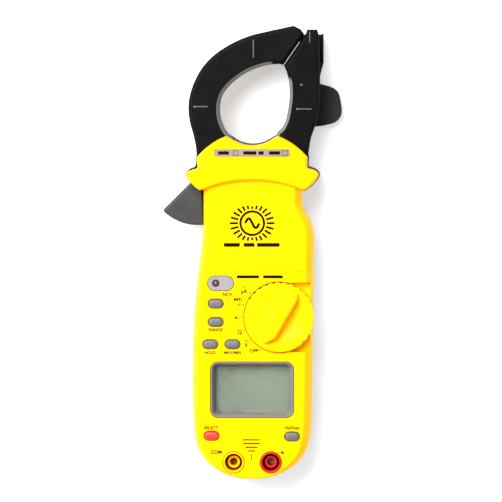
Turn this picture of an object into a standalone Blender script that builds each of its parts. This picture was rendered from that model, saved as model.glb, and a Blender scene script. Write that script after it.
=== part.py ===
"""Clamp-type digital multimeter lying on its back, as separate moulded, turned and stamped pieces.

Frame: +Z out of the display face, +Y towards the jaws, +X to the right as the display is read.
The origin is at the bottom centre of the whole meter. Sizes are in millimetres and MM turns them into metres.
Heights along the meter are counted from two lines: the pivot line of the jaw lever for everything
above it (above), and the bottom end of the case for everything on the grip (from_bottom).
"""

import math

import bpy
import bmesh
from mathutils import Vector

MM = 0.001

# ---- overall sizes
BODY_LENGTH = 156.2        # bottom end of the case to the pivot line
JAW_REACH = 76.2           # pivot line to the top of the moving jaw
BODY_HALF_WIDTH = 31.0
WAIST_HALF_WIDTH = 25.5
HEAD_HALF_WIDTH = 28.1
GUARD_HALF_WIDTH = 33.9
REAR_DEPTH = 17.0          # back of the case to the parting line
FRONT_DEPTH = 17.0         # parting line to the display face
GUARD_RISE = 3.5           # head and guard stand this proud of the display face
WALL = 2.2
END_SHARE = 0.3            # the case's edges are rounded this much less at its bottom end
FIT = 0.3                  # clearance between pieces that only touch
SLIDE = 0.35               # clearance round a button or a shaft

# ---- jaws and lever
PIVOT_X = -28.0
HUB_RADIUS = 3.9
PIN_RADIUS = 1.8
LEVER_SWING = 22.0         # degrees from closed to fully open
JAW_DEPTH = 22.0
JAW_SPLIT_Z = 18.0
JAW_CHAMFER = 1.5
TRIGGER_DEPTH = 14.0
TRIGGER_RADIUS = 25.8
TRIGGER_ANGLES = (225.0, 278.0)
CORE_WIDTH = 6.0
CORE_DEPTH = 12.0
COIL_BUILD = 2.0           # thickness of the winding on the core

# ---- display
LCD_WIDTH, LCD_HEIGHT = 43.0, 29.0
LCD_FROM_BOTTOM = 46.5
LCD_RECESS = 3.2
LCD_BORDER = 2.1

# ---- selector
KNOB_RADIUS = 17.9
KNOB_RISE = 2.2            # disc above the display face
KNOB_GRIP_RISE = 5.0       # raised bar above the display face
KNOB_FROM_BOTTOM = 83.7
KNOB_FROM_EDGE = 17.2
KNOB_SHAFT_RADIUS = 4.0
KNOB_POINTS = 240.0        # the bar's direction with the meter off, in degrees
KNOB_NOTCHES = 30          # pitch of the finger notches, as a count for the whole rim
KNOB_GRIPPED = (-55.0, 150.0)      # the part of the rim that has them

# ---- buttons, window and jacks
BUTTON_LENGTH, BUTTON_WIDTH = 7.6, 4.5
BUTTON_RISE = 1.0
FLANGE = 1.0               # rim that keeps a button or the window behind the face
BUTTON_TRAVEL = 0.8
WINDOW_LENGTH, WINDOW_WIDTH = 13.2, 7.4
LED_RADIUS = 1.55
JACK_SPACING = 19.05
JACK_FROM_BOTTOM = 9.3
JACK_RADIUS = 5.4
JACK_BORE = 4.5
JACK_RISE = 0.4
POST_RADIUS, POST_BORE, POST_SINK = 3.15, 2.0, 4.4

# ---- batteries and screws
CELL_RADIUS, CELL_LENGTH = 5.2, 44.0
CELL_FROM_BOTTOM = 53.5
COVER_SIDE, COVER_END = 1.5, 4.4   # how far the cover laps over the bay
COVER_DEPTH = 1.8
SCREW_RADIUS, SCREW_HEAD = 1.0, 2.2

# ---- places worked out from the sizes above
PIVOT_Y = (BODY_LENGTH - JAW_REACH) / 2
BOTTOM_Y = PIVOT_Y - BODY_LENGTH
FACE_Z = REAR_DEPTH + FRONT_DEPTH
HEAD_Z = FACE_Z + GUARD_RISE
JAW_LOW, JAW_HIGH = JAW_SPLIT_Z - JAW_DEPTH / 2, JAW_SPLIT_Z + JAW_DEPTH / 2
BOARD_Z = REAR_DEPTH + 2.0
BOARD_TOP = BOARD_Z + 1.6
CEILING = FACE_Z - WALL
WELL_FLOOR = CEILING - 2.1
KNOB_X = BODY_HALF_WIDTH - KNOB_FROM_EDGE
COLUMN_X = 12.4 - BODY_HALF_WIDTH


def above(y):
    """A height counted from the pivot line."""
    return PIVOT_Y + y


def from_bottom(y):
    """A height counted from the bottom end of the case."""
    return BOTTOM_Y + y


KNOB_Y = from_bottom(KNOB_FROM_BOTTOM)
LCD_Y = from_bottom(LCD_FROM_BOTTOM)
JACK_Y = from_bottom(JACK_FROM_BOTTOM)
CELL_Y = from_bottom(CELL_FROM_BOTTOM)
CELL_X = CELL_RADIUS + 0.6
CELL_Z = COVER_DEPTH + FIT + 0.5 + CELL_RADIUS
BAY_HALF_WIDTH = CELL_X + CELL_RADIUS + 0.6
BAY_HALF_LENGTH = CELL_LENGTH / 2 + 2.6
BAY_TOP = CELL_Z + CELL_RADIUS + 0.6
COVER_SCREW_Y = CELL_Y + BAY_HALF_LENGTH + COVER_END - SCREW_HEAD - 0.7

BUTTONS = {
    "button_detector": (COLUMN_X, from_bottom(90.6)),
    "button_range": (COLUMN_X, from_bottom(81.2)),
    "button_hold": (COLUMN_X - 2.8, from_bottom(69.8)),
    "button_peak": (COLUMN_X + 8.6, from_bottom(69.8)),
    "button_select": (COLUMN_X - 2.2, from_bottom(22.9)),
    "button_duty": (-COLUMN_X + 1.8, from_bottom(22.6)),
}
WINDOW_PLACE = (9.4 - WAIST_HALF_WIDTH, from_bottom(101.0))
LED_PLACE = (6.9 - WAIST_HALF_WIDTH, from_bottom(101.1))
JACKS = {"com": -JACK_SPACING / 2, "pos": JACK_SPACING / 2}
SCREWS = [
    (10.0 - BODY_HALF_WIDTH, from_bottom(12.2)),
    (BODY_HALF_WIDTH - 10.0, from_bottom(12.2)),
    (6.2 - WAIST_HALF_WIDTH, above(-35.0)),
    (WAIST_HALF_WIDTH - 6.2, above(-35.0)),
    (2.0, above(7.0)),
]

# ---- colours: base colour, roughness, metallic
YELLOW = ("yellow plastic", (1.0, 0.86, 0.0), 0.45, 0.0)
BLACK = ("black plastic", (0.02, 0.02, 0.022), 0.4, 0.0)
DARK = ("dark grey plastic", (0.09, 0.09, 0.095), 0.45, 0.0)
GREY = ("grey plastic", (0.25, 0.25, 0.27), 0.5, 0.0)
BEZEL = ("bezel plastic", (0.4, 0.36, 0.38), 0.5, 0.0)
PALE = ("pale window", (0.66, 0.6, 0.6), 0.3, 0.0)
RED = ("red plastic", (0.85, 0.06, 0.03), 0.4, 0.0)
CLEAR = ("clear lens", (0.8, 0.84, 0.82), 0.1, 0.0)
LCD_GREEN = ("display glass", (0.38, 0.42, 0.36), 0.25, 0.0)
WHITE = ("white plastic", (0.8, 0.8, 0.78), 0.5, 0.0)
BOARD = ("circuit board", (0.03, 0.22, 0.08), 0.5, 0.0)
STEEL = ("steel", (0.6, 0.6, 0.6), 0.35, 1.0)
BRASS = ("brass", (0.75, 0.55, 0.22), 0.3, 1.0)
COPPER = ("copper winding", (0.6, 0.26, 0.12), 0.4, 1.0)
IRON = ("laminated iron", (0.3, 0.3, 0.32), 0.5, 1.0)
RUBBER = ("conductive rubber", (0.12, 0.12, 0.12), 0.8, 0.0)
LABEL = ("label", (0.6, 0.53, 0.46), 0.5, 0.0)


# ---------------------------------------------------------------- outlines, as lists of (x, y)

def arc(centre, radius, start, end, steps):
    """Points along an arc, in degrees, both ends included."""
    points = []
    for step in range(steps + 1):
        turn = math.radians(start + (end - start) * step / steps)
        points.append((centre[0] + radius * math.cos(turn), centre[1] + radius * math.sin(turn)))
    return points


def circle(centre, radius, steps=16):
    return arc(centre, radius, 0.0, 360.0, steps)[:-1]


def pill(centre, length, width, steps=5):
    """A slot shape with round ends, long in X."""
    reach = (length - width) / 2
    right = arc((centre[0] + reach, centre[1]), width / 2, -90, 90, steps)
    left = arc((centre[0] - reach, centre[1]), width / 2, 90, 270, steps)
    return right + left


def rectangle(centre, width, height, corner=0.0, steps=4):
    x, y = centre
    half_x, half_y = width / 2 - corner, height / 2 - corner
    if corner == 0:
        return [(x - half_x, y - half_y), (x + half_x, y - half_y), (x + half_x, y + half_y),
                (x - half_x, y + half_y)]
    points = []
    for sign_x, sign_y, start in ((1, -1, -90), (1, 1, 0), (-1, 1, 90), (-1, -1, 180)):
        points += arc((x + sign_x * half_x, y + sign_y * half_y), corner, start, start + 90, steps)
    return points


def between(first, second, start, end, t):
    return first + (second - first) * (t - start) / (end - start)


def curve(points, steps=2):
    """An open centripetal Catmull-Rom curve through the points, both ends included."""
    spots = [Vector(point) for point in points]
    spots = [2 * spots[0] - spots[1]] + spots + [2 * spots[-1] - spots[-2]]
    result = []
    for index in range(1, len(spots) - 2):
        p0, p1, p2, p3 = spots[index - 1:index + 3]
        k1 = math.sqrt((p1 - p0).length)
        k2 = k1 + math.sqrt((p2 - p1).length)
        k3 = k2 + math.sqrt((p3 - p2).length)
        for step in range(steps):
            t = k1 + (k2 - k1) * step / steps
            a1, a2, a3 = between(p0, p1, 0.0, k1, t), between(p1, p2, k1, k2, t), between(p2, p3, k2, k3, t)
            b1, b2 = between(a1, a2, 0.0, k2, t), between(a2, a3, k1, k3, t)
            result.append(tuple(between(b1, b2, k1, k2, t)))
    return result + [tuple(points[-1])]


def grown(outline, distance, end_share=1.0):
    """The outline moved outwards by distance (inwards if negative), point for point.

    Faces that look along Y move only end_share of it. Where a tight corner would turn an edge
    round, its two ends meet in one point.
    """
    count = len(outline)
    spots = [Vector(point) for point in outline]
    result = []
    for index, spot in enumerate(spots):
        before = (spot - spots[index - 1]).normalized()
        after = (spots[(index + 1) % count] - spot).normalized()
        normal = Vector((before.y + after.y, -before.x - after.x)).normalized()
        stretch = 1 / max(0.6, normal.dot(Vector((after.y, -after.x))))
        share = end_share + (1 - end_share) * abs(normal.x)
        result.append(spot + normal * distance * stretch * share)
    for _ in range(count):
        for index in range(count):
            beside = (index + 1) % count
            if (result[beside] - result[index]).dot(spots[beside] - spots[index]) < 0:
                middle = (result[beside] + result[index]) / 2
                result[index], result[beside] = middle, middle.copy()
    return [tuple(spot) for spot in result]


def turned(points, centre, degrees):
    """Points turned about a centre."""
    cosine, sine = math.cos(math.radians(degrees)), math.sin(math.radians(degrees))
    result = []
    for x, y in points:
        dx, dy = x - centre[0], y - centre[1]
        result.append((centre[0] + dx * cosine - dy * sine, centre[1] + dx * sine + dy * cosine))
    return result


# ---------------------------------------------------------------- solids

def material_of(look):
    name, colour, roughness, metallic = look
    material = bpy.data.materials.get(name)
    if material is None:
        material = bpy.data.materials.new(name)
        material.use_nodes = True
        shader = material.node_tree.nodes["Principled BSDF"]
        shader.inputs["Base Color"].default_value = (*colour, 1.0)
        shader.inputs["Roughness"].default_value = roughness
        shader.inputs["Metallic"].default_value = metallic
        material.diffuse_color = (*colour, 1.0)
    return material


def solid(name, points, faces, look=GREY, origin=(0.0, 0.0, 0.0)):
    """One object from points in millimetres, with its own origin at the given place."""
    mesh = bpy.data.meshes.new(name)
    base = Vector(origin)
    mesh.from_pydata([(Vector(point) - base) * MM for point in points], [], faces)
    work = bmesh.new()
    work.from_mesh(mesh)
    bmesh.ops.remove_doubles(work, verts=work.verts, dist=0.001 * MM)
    bmesh.ops.recalc_face_normals(work, faces=work.faces)
    if work.calc_volume(signed=True) < 0:
        bmesh.ops.reverse_faces(work, faces=work.faces)
    work.to_mesh(mesh)
    work.free()
    mesh.materials.append(material_of(look))
    thing = bpy.data.objects.new(name, mesh)
    thing.location = base * MM
    bpy.context.collection.objects.link(thing)
    return thing


def loft(name, rings, look=GREY, origin=(0.0, 0.0, 0.0)):
    """A closed body through rings of equal point counts, capped at both ends."""
    count = len(rings[0])
    points = [point for ring in rings for point in ring]
    faces = [tuple(range(count)), tuple(range(len(points) - count, len(points)))]
    for level in range(len(rings) - 1):
        for index in range(count):
            here, beside = level * count + index, level * count + (index + 1) % count
            faces.append((here, beside, beside + count, here + count))
    return solid(name, points, faces, look, origin)


def stack(name, outline, levels, look=GREY, origin=(0.0, 0.0, 0.0), end_share=1.0):
    """A body over one outline: levels are (z, how far the outline is grown there)."""
    rings = [[(x, y, z) for x, y in grown(outline, growth, end_share)] for z, growth in levels]
    return loft(name, rings, look, origin)


def prism(name, outline, low, high, look=GREY, origin=(0.0, 0.0, 0.0)):
    return stack(name, outline, ((low, 0.0), (high, 0.0)), look, origin)


def turned_body(name, centre, profile, look=GREY, steps=32, origin=(0.0, 0.0, 0.0)):
    """A round body about a vertical axis: profile is (radius, z) from one end to the other."""
    rings = [[(x, y, z) for x, y in circle(centre, radius, steps)] for radius, z in profile]
    return loft(name, rings, look, origin)


def swept(name, path, sections, look=GREY, closed_section=None):
    """A body along a path of 3D points; a section is (sideways, up) pairs, sideways being level.

    With closed_section as well, it is the bore of a sleeve and both ends are open rings.
    """
    loops = [sections] if closed_section is None else [sections, closed_section]
    rings = [[] for _ in loops]
    for index, point in enumerate(path):
        ahead = Vector(path[min(index + 1, len(path) - 1)]) - Vector(path[max(index - 1, 0)])
        ahead.normalize()
        side = ahead.cross(Vector((0, 0, 1)))
        side.normalize()
        up = side.cross(ahead)
        for loop, ring in zip(loops, rings):
            ring.append([tuple(Vector(point) + side * across + up * rise) for across, rise in loop])
    if closed_section is None:
        return loft(name, rings[0], look)
    count, length = len(sections), len(path)
    points = [point for loop in rings for ring in loop for point in ring]
    inner = count * length
    faces = []
    for level in range(length - 1):
        for index in range(count):
            here, beside = level * count + index, level * count + (index + 1) % count
            faces.append((here, beside, beside + count, here + count))
            faces.append((inner + here, inner + here + count, inner + beside + count, inner + beside))
    for start in (0, (length - 1) * count):
        for index in range(count):
            here, beside = start + index, start + (index + 1) % count
            faces.append((here, beside, inner + beside, inner + here))
    return solid(name, points, faces, look)


def combine(target, others, operation):
    """Union or difference with other bodies, which are used up."""
    for other in others:
        step = target.modifiers.new(operation.lower(), "BOOLEAN")
        step.operation = operation
        step.object = other
    bpy.context.view_layer.update()
    graph = bpy.context.evaluated_depsgraph_get()
    mesh = bpy.data.meshes.new_from_object(target.evaluated_get(graph))
    target.modifiers.clear()
    target.data = mesh
    for other in others:
        bpy.data.objects.remove(other)
    return target


def cut(target, *cutters):
    return combine(target, cutters, "DIFFERENCE")


def join(target, *others):
    return combine(target, others, "UNION")


def smooth_round(thing):
    thing.data.shade_smooth()
    thing.data.set_sharp_from_angle(angle=math.radians(35))


# ---------------------------------------------------------------- outlines of the case

def right_side(top):
    """Grip edge on the right, from the middle of the bottom end up to the waist."""
    wide = BODY_HALF_WIDTH
    waist = WAIST_HALF_WIDTH
    return curve([
        (0.0, from_bottom(0.0)),
        (wide - 25.0, from_bottom(0.2)),
        (wide - 21.0, from_bottom(0.9)),
        (wide - 15.8, from_bottom(2.6)),
        (wide - 9.1, from_bottom(6.9)),
        (wide - 5.0, from_bottom(11.2)),
        (wide - 2.3, from_bottom(16.5)),
        (wide - 0.9, from_bottom(23.2)),
        (wide - 0.2, from_bottom(45.0)),
        (wide + 0.2, from_bottom(85.0)),
        (wide + 0.6, above(-36.0)),
        (wide + 0.6, above(-30.0)),
        (wide - 1.2, above(-23.9)),
        (waist + 1.6, above(-18.6)),
        (waist + 0.2, above(-14.0)),
    ]) + [(waist, top)]


def left_side(top):
    """Grip edge on the left, from the waist down to the bottom end; it narrows earlier, for the trigger."""
    wide = BODY_HALF_WIDTH
    waist = WAIST_HALF_WIDTH
    return [(-waist, top)] + curve([
        (-waist, above(-27.0)),
        (-waist - 1.0, above(-38.0)),
        (-waist - 3.0, above(-54.0)),
        (-wide + 0.9, from_bottom(85.2)),
        (-wide, from_bottom(61.2)),
        (-wide + 0.9, from_bottom(23.2)),
        (-wide + 2.3, from_bottom(16.5)),
        (-wide + 5.0, from_bottom(11.2)),
        (-wide + 9.1, from_bottom(6.9)),
        (-wide + 15.8, from_bottom(2.6)),
        (-wide + 21.0, from_bottom(0.9)),
        (-wide + 25.0, from_bottom(0.2)),
        (0.0, from_bottom(0.0)),
    ])[:-1]


def grip_outline(top):
    return right_side(top) + left_side(top)


def guard_half(sign):
    """Half of the hand guard and head, from the middle of the guard's lower edge to the jaw opening."""
    half_guard, half_head = GUARD_HALF_WIDTH, HEAD_HALF_WIDTH
    lower = [(0.0, above(-2.7)), (8.0, above(-3.2)), (16.0, above(-4.6)), (22.5, above(-6.6)),
             (25.4, above(-7.8))]
    nose = [
        (WAIST_HALF_WIDTH + 1.4, above(-7.8)),
        (WAIST_HALF_WIDTH + 2.9, above(-6.8)),
        (half_guard - 1.9, above(-3.4)),
        (half_guard - 0.4, above(-1.4)),
        (half_guard, above(0.0)),
        (half_guard - 0.6, above(1.4)),
        (half_guard - 2.4, above(2.6)),
        (half_head + 0.2, above(3.7)),
        (half_head, above(4.4)),
    ]
    shoulder = arc((0.0, above(-14.0)), 36.7, 39.4, 69.0, 6)
    points = curve(lower, 2)[:-1] + curve(nose, 2) + shoulder
    return [(sign * x, y) for x, y in points]


def opening_arc():
    """Lower edge of the round opening between the jaws, from right to left."""
    return arc((0.0, above(32.5)), 17.3, -53.0, -127.0, 8)


def head_outline():
    left = guard_half(-1)
    left.reverse()
    return guard_half(1) + opening_arc() + left[:-1]


# ---------------------------------------------------------------- outlines of the jaws

SEAM_LOW, SEAM_HIGH = (15.9, above(56.2)), (27.2, above(72.6))
SEAM_GAP = 0.5
FIXED_ROOT_LEFT, FIXED_ROOT_RIGHT, FIXED_ROOT_LOW = 12.4, 25.3, above(5.0)


def polar(radius, degrees):
    """A point by its distance and direction from the lever's pivot."""
    turn = math.radians(degrees)
    return (PIVOT_X + radius * math.cos(turn), PIVOT_Y + radius * math.sin(turn))


def seam_point(share, side):
    """A point on one of the two faces that meet at the jaws' tips; side is -1 on the moving jaw."""
    low, high = Vector(SEAM_LOW), Vector(SEAM_HIGH)
    along = (high - low).normalized()
    spot = low + (high - low) * share + Vector((along.y, -along.x)) * side * SEAM_GAP / 2
    return tuple(spot)


def moving_outline():
    """Moving jaw with its root down to the hub; the hub itself is a separate round."""
    tip = [(21.4, above(76.2)), (24.5, above(74.6)), (26.3, above(72.4))]
    outer = curve([
        (20.0, above(76.1)), (8.0, above(73.5)), (-2.0, above(71.0)), (-12.0, above(66.5)),
        (-20.0, above(61.0)),
        (-26.0, above(54.5)), (-30.2, above(46.5)), (-32.2, above(40.0)), (-32.8, above(34.0)),
        (-32.0, above(27.0)),
        (-30.1, above(20.0)), (-28.8, above(13.0)), (-28.8, above(6.0)),
    ])
    root = [
        (PIVOT_X - HUB_RADIUS + 1.2, above(1.0)), (PIVOT_X - 1.5, above(-3.3)), (-23.0, above(-2.6)),
        (-16.0, above(2.0)), (-11.6, above(7.0)), (-10.2, above(12.0)),
    ]
    inner = curve([
        (-10.0, above(18.5)), (-12.0, above(20.5)), (-14.3, above(23.5)), (-16.3, above(28.5)),
        (-16.9, above(33.5)),
        (-15.8, above(40.0)), (-13.0, above(44.5)), (-9.0, above(48.3)), (-4.0, above(51.8)),
        (2.0, above(54.6)),
        (8.0, above(56.2)), (13.5, above(56.8)),
    ])
    return tip[::-1] + outer + root + inner + [seam_point(0.0, -1), seam_point(0.93, -1)]


def fixed_outline():
    """Fixed jaw with the root that the head holds."""
    root = [
        (FIXED_ROOT_LEFT, FIXED_ROOT_LOW), (FIXED_ROOT_RIGHT, FIXED_ROOT_LOW), (FIXED_ROOT_RIGHT, above(9.4)),
    ]
    outer = curve([
        (28.6, above(10.4)), (30.0, above(19.0)), (32.0, above(24.7)), (33.4, above(29.5)),
        (34.3, above(36.5)),
        (34.6, above(46.0)), (34.5, above(54.0)), (34.2, above(64.0)), (33.8, above(72.0)),
        (33.1, above(74.4)),
    ])
    inner = curve([
        (17.5, above(53.0)), (18.8, above(47.0)), (19.0, above(40.0)), (18.3, above(34.0)),
        (17.0, above(28.0)),
        (15.0, above(23.9)), (12.6, above(21.6)), (12.0, above(18.0)),
    ])
    return root + outer + [(27.9, above(74.4)), seam_point(1.0, 1), seam_point(0.0, 1)] + inner


def trigger_corner(beyond=0.0):
    """Where the trigger's inner edge meets the hub, or a point that far beyond it."""
    x, y = polar(HUB_RADIUS - 0.8, TRIGGER_ANGLES[1])
    return (x + 2.0 + beyond, y)


def trigger_outline():
    """Finger trigger: a sector about the pivot with a rounded tip."""
    start, end = TRIGGER_ANGLES
    tip = [polar(TRIGGER_RADIUS - 0.6, start), polar(TRIGGER_RADIUS, start + 2.4)]
    rim = arc((PIVOT_X, PIVOT_Y), TRIGGER_RADIUS, start + 6, end, 8)
    inner = arc((PIVOT_X, PIVOT_Y), HUB_RADIUS - 0.8, end, start, 4)
    return tip + rim + [trigger_corner()] + inner[1:]


MOVING_CENTRE = [
    (-21.5, above(14.0)), (-23.0, above(24.0)), (-24.8, above(34.0)), (-22.4, above(45.0)),
    (-15.5, above(54.5)),
    (-6.0, above(60.8)), (5.0, above(64.8)), (14.6, above(66.2)),
]
FIXED_CENTRE = [
    (25.6, above(63.0)), (26.9, above(54.0)), (26.8, above(42.0)), (25.6, above(32.0)), (22.8, above(22.0)),
    (20.6, above(12.0)),
]


def magnet_path(points, start, end):
    """Part of a jaw's centre line, in 3D at mid depth; start and end are shares of its points."""
    line = curve(points, 3)
    first, last = round(start * (len(line) - 1)), round(end * (len(line) - 1))
    return [(x, y, JAW_SPLIT_Z) for x, y in line[first:last + 1]]


# ---------------------------------------------------------------- case

def passage_outline():
    """Room that the jaw's root sweeps through in the head, open at the top left."""
    hub = arc((PIVOT_X, PIVOT_Y), HUB_RADIUS + 0.5, 160.0, 250.0, 6)
    return hub + [
        (-22.0, above(-4.2)), (-14.4, above(0.6)), (-9.4, above(7.0)), (-9.4, above(34.0)),
        (-39.6, above(34.0)), (-39.6, above(20.0)), (-34.8, above(11.0)), (-32.3, above(4.6)),
    ]


def trigger_room():
    """Room that the trigger sweeps through below the hub."""
    start, end = TRIGGER_ANGLES
    rim = arc((PIVOT_X, PIVOT_Y), TRIGGER_RADIUS + 0.6, start - 1.8, end + LEVER_SWING + 3.0, 12)
    corner = turned([trigger_corner(1.2)], (PIVOT_X, PIVOT_Y), LEVER_SWING)
    return [(PIVOT_X, above(0.8))] + rim + corner


def lever_cutters():
    high = prism("passage", passage_outline(), JAW_LOW - FIT, JAW_HIGH + 0.4)
    low = prism("trigger room", trigger_room(), JAW_SPLIT_Z - TRIGGER_DEPTH / 2 - 0.5,
                JAW_SPLIT_Z + TRIGGER_DEPTH / 2 + 0.5)
    return [high, low]


def fixed_jaw_seat():
    """Pocket for the fixed jaw's root, open upwards."""
    left, right, low = FIXED_ROOT_LEFT - 0.4, FIXED_ROOT_RIGHT + 0.4, FIXED_ROOT_LOW - 0.4
    outline = [
        (left, low), (right, low), (right, above(9.0)), (HEAD_HALF_WIDTH + 3, above(9.0)),
        (HEAD_HALF_WIDTH + 3, above(34.0)), (left, above(34.0)),
    ]
    return prism("jaw seat", outline, JAW_LOW - FIT, JAW_HIGH + 0.4)


def head_room(low, high):
    """Hollow in the middle of the head, round its screw post; it is deeper under the raised guard."""
    room = prism("head room", rectangle((1.3, above(2.4)), 17.0, 19.8, 2.0), low, min(high, CEILING))
    if high > CEILING:
        join(room, prism("guard room", rectangle((1.3, above(6.0)), 16.0, 11.0, 2.0), CEILING - 2.0, high))
    return cut(room, prism("post", circle(SCREWS[4], 3.4), low - 1, high + 1))


def cover_outline(growth, corner):
    """Outline of the battery cover, or of what goes round it."""
    return rectangle((0.0, CELL_Y), 2 * (BAY_HALF_WIDTH + COVER_SIDE + growth),
                     2 * (BAY_HALF_LENGTH + COVER_END + growth), corner)


def screw_posts(low, high):
    return [prism("post", circle(place, 3.2), low, high) for place in SCREWS[:4]]


def knob_side_recess(growth, low, high):
    """Room beside the knob, out to the case's edge, where a finger reaches the knob's rim."""
    half, inner = KNOB_RADIUS - 0.1, KNOB_X + 6.0
    outline = rectangle(((inner + BODY_HALF_WIDTH + 10.0) / 2, KNOB_Y), BODY_HALF_WIDTH + 10.0 - inner,
                        2 * half)
    return prism("side recess", grown(outline, growth), low, high)


def front_case():
    grip_top = above(1.0)
    case = stack("front_case", grip_outline(grip_top), (
        (REAR_DEPTH - 6.0, 0.0), (REAR_DEPTH + 7.5, -0.4), (FACE_Z - 4.4, -1.4), (FACE_Z - 1.6, -2.7),
        (FACE_Z, -4.6),
    ), YELLOW, end_share=END_SHARE)
    head = stack("head", head_outline(), ((REAR_DEPTH - 5.0, 0.0), (HEAD_Z - 2.2, -0.4), (HEAD_Z, -1.6)),
                 YELLOW)
    join(case, head)
    cut(case, prism("rear half", rectangle((0, 0), 200, 400), -5.0, REAR_DEPTH + FIT / 2))

    room = stack("room", grown(grip_outline(above(-6.0)), -WALL), (
        (REAR_DEPTH - 8.0, 0.0), (REAR_DEPTH + 7.5, -0.4), (CEILING - 3.0, -1.6), (CEILING, -3.6),
    ), end_share=END_SHARE)
    well = (KNOB_X, KNOB_Y)
    cup_floor = WELL_FLOOR - 2.1
    cut(room, prism("cup", circle(well, KNOB_RADIUS + 1.9, 28), cup_floor, FACE_Z + 5))
    cut(room, knob_side_recess(1.9, cup_floor, FACE_Z + 5), *screw_posts(0.0, FACE_Z))
    cut(case, room, head_room(0.0, HEAD_Z - WALL))

    cut(case, *lever_cutters(), fixed_jaw_seat())
    cut(case, prism("pin hole", circle((PIVOT_X, PIVOT_Y), PIN_RADIUS + 0.25), JAW_HIGH - 1, HEAD_Z - 3.0))

    cut(case, prism("well", circle(well, KNOB_RADIUS + 0.4, 40), WELL_FLOOR, FACE_Z + 5),
        prism("shaft hole", circle(well, KNOB_SHAFT_RADIUS + SLIDE), CEILING - 6, FACE_Z))
    cut(case, knob_side_recess(0.0, WELL_FLOOR + 0.1, FACE_Z + 5))
    holes = [
        prism("hole", pill(place, BUTTON_LENGTH + 2 * SLIDE, BUTTON_WIDTH + 2 * SLIDE), CEILING - 3,
              FACE_Z + 2)
        for place in BUTTONS.values()
    ]
    roof = CEILING + 0.1
    rim = 2 * FLANGE + 2 * SLIDE
    holes += [
        prism("flange room", pill(place, BUTTON_LENGTH + rim, BUTTON_WIDTH + rim), CEILING - 8, roof)
        for place in BUTTONS.values()
    ]
    holes.append(prism("hole", pill(WINDOW_PLACE, WINDOW_LENGTH + 2 * FIT, WINDOW_WIDTH + 2 * FIT),
                       CEILING - 3, FACE_Z + 2))
    holes.append(prism("flange room", pill(WINDOW_PLACE, WINDOW_LENGTH + rim, WINDOW_WIDTH + rim),
                       CEILING - 8, roof))
    holes.append(prism("flange room", rectangle((0.0, LCD_Y), LCD_WIDTH + 4.0, LCD_HEIGHT + 4.0, 4.8),
                       CEILING - 8,
                       roof))
    holes.append(prism("hole", rectangle((0.0, LCD_Y), LCD_WIDTH, LCD_HEIGHT, 4.2), CEILING - 3, FACE_Z + 2))
    for x in JACKS.values():
        holes.append(prism("hole", circle((x, JACK_Y), JACK_RADIUS + FIT, 20), CEILING - 20, FACE_Z + 2))
    holes.append(prism("label seat", rectangle((0.0, above(11.5)), 38.9, 4.2, 0.6, 2), HEAD_Z - 0.5,
                       HEAD_Z + 2))
    holes += [prism("pilot", circle(place, SCREW_RADIUS + FIT, 12), 8.0,
                    FACE_Z - WALL - 1.0) for place in SCREWS]
    cut(case, *holes)

    groove_y = from_bottom(106.9)
    groove = prism("groove", rectangle((20.0, groove_y), 81.2, 0.8), FACE_Z - 0.5, FACE_Z + 2)
    return cut(case, groove)


def rear_case():
    case = stack("rear_case", grip_outline(above(1.0)), (
        (0.0, -3.6), (1.2, -1.6), (4.0, -0.4), (REAR_DEPTH + 6.0, 0.0),
    ), BLACK, end_share=END_SHARE)
    head = stack("head", grown(head_outline(), 0.5), ((0.0, -1.4), (1.2, -0.3), (REAR_DEPTH + 5.0, 0.0)),
                 BLACK)
    join(case, head)
    cut(case, prism("front half", rectangle((0, 0), 200, 400), REAR_DEPTH - FIT / 2, REAR_DEPTH + 20.0))

    room = stack("room", grown(grip_outline(above(-6.0)), -WALL), (
        (WALL, -2.0), (WALL + 2.5, -0.4), (REAR_DEPTH + 8.0, 0.0),
    ), end_share=END_SHARE)
    bay = prism("bay", cover_outline(1.3, 0.0), -1.0, BAY_TOP + 1.4)
    cut(room, bay, *screw_posts(-1.0, REAR_DEPTH + 9.0))
    cut(case, room, head_room(WALL, REAR_DEPTH + 9.0))

    cut(case, *lever_cutters(), fixed_jaw_seat())
    pocket = [(PIVOT_X, PIVOT_Y)] + arc((PIVOT_X, PIVOT_Y), 9.4, -40.0, 84.0, 8)
    cut(case, prism("spring pocket", circle((PIVOT_X, PIVOT_Y), 4.0, 24), 2.3, JAW_LOW + 1),
        prism("leg room", pocket, 2.3, JAW_LOW + 1))

    cells = rectangle((0.0, CELL_Y), 2 * BAY_HALF_WIDTH, 2 * BAY_HALF_LENGTH)
    cut(case, prism("cells", cells, -1.0, BAY_TOP),
        prism("cover seat", cover_outline(0.0, 2.0), -1.0, COVER_DEPTH + FIT),
        prism("screw hole", circle((0.0, COVER_SCREW_Y), SCREW_RADIUS + 0.25, 12), -1.0, 7.0))

    cuts = [prism("label seat", rectangle((0.0, above(-24.0)), 28.6, 16.6, 1.5, 2), -1.0, 0.7)]
    for place in SCREWS:
        cuts.append(prism("head hole", circle(place, SCREW_HEAD + 0.4, 12), -1.0, 3.6))
        cuts.append(prism("screw hole", circle(place, SCREW_RADIUS + 0.3, 12), 2.0, REAR_DEPTH + 4))
    return cut(case, *cuts)


def screw(name, place, head_low, head_high, tip, radius=SCREW_RADIUS, head=SCREW_HEAD):
    """A cross-recessed pan-head screw pointing up, its head at the back."""
    body = turned_body(name, place, (
        (head - 0.5, head_low), (head, head_low + 0.5), (head, head_high), (radius, head_high),
        (radius, tip - 1.0), (radius * 0.3, tip),
    ), STEEL, 12)
    slots = [prism("slot", rectangle(place, 2.4 if flip else 0.6, 0.6 if flip else 2.4), head_low - 1,
                   head_low + 0.7) for flip in (0, 1)]
    cut(body, *slots)
    smooth_round(body)
    return body


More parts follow.
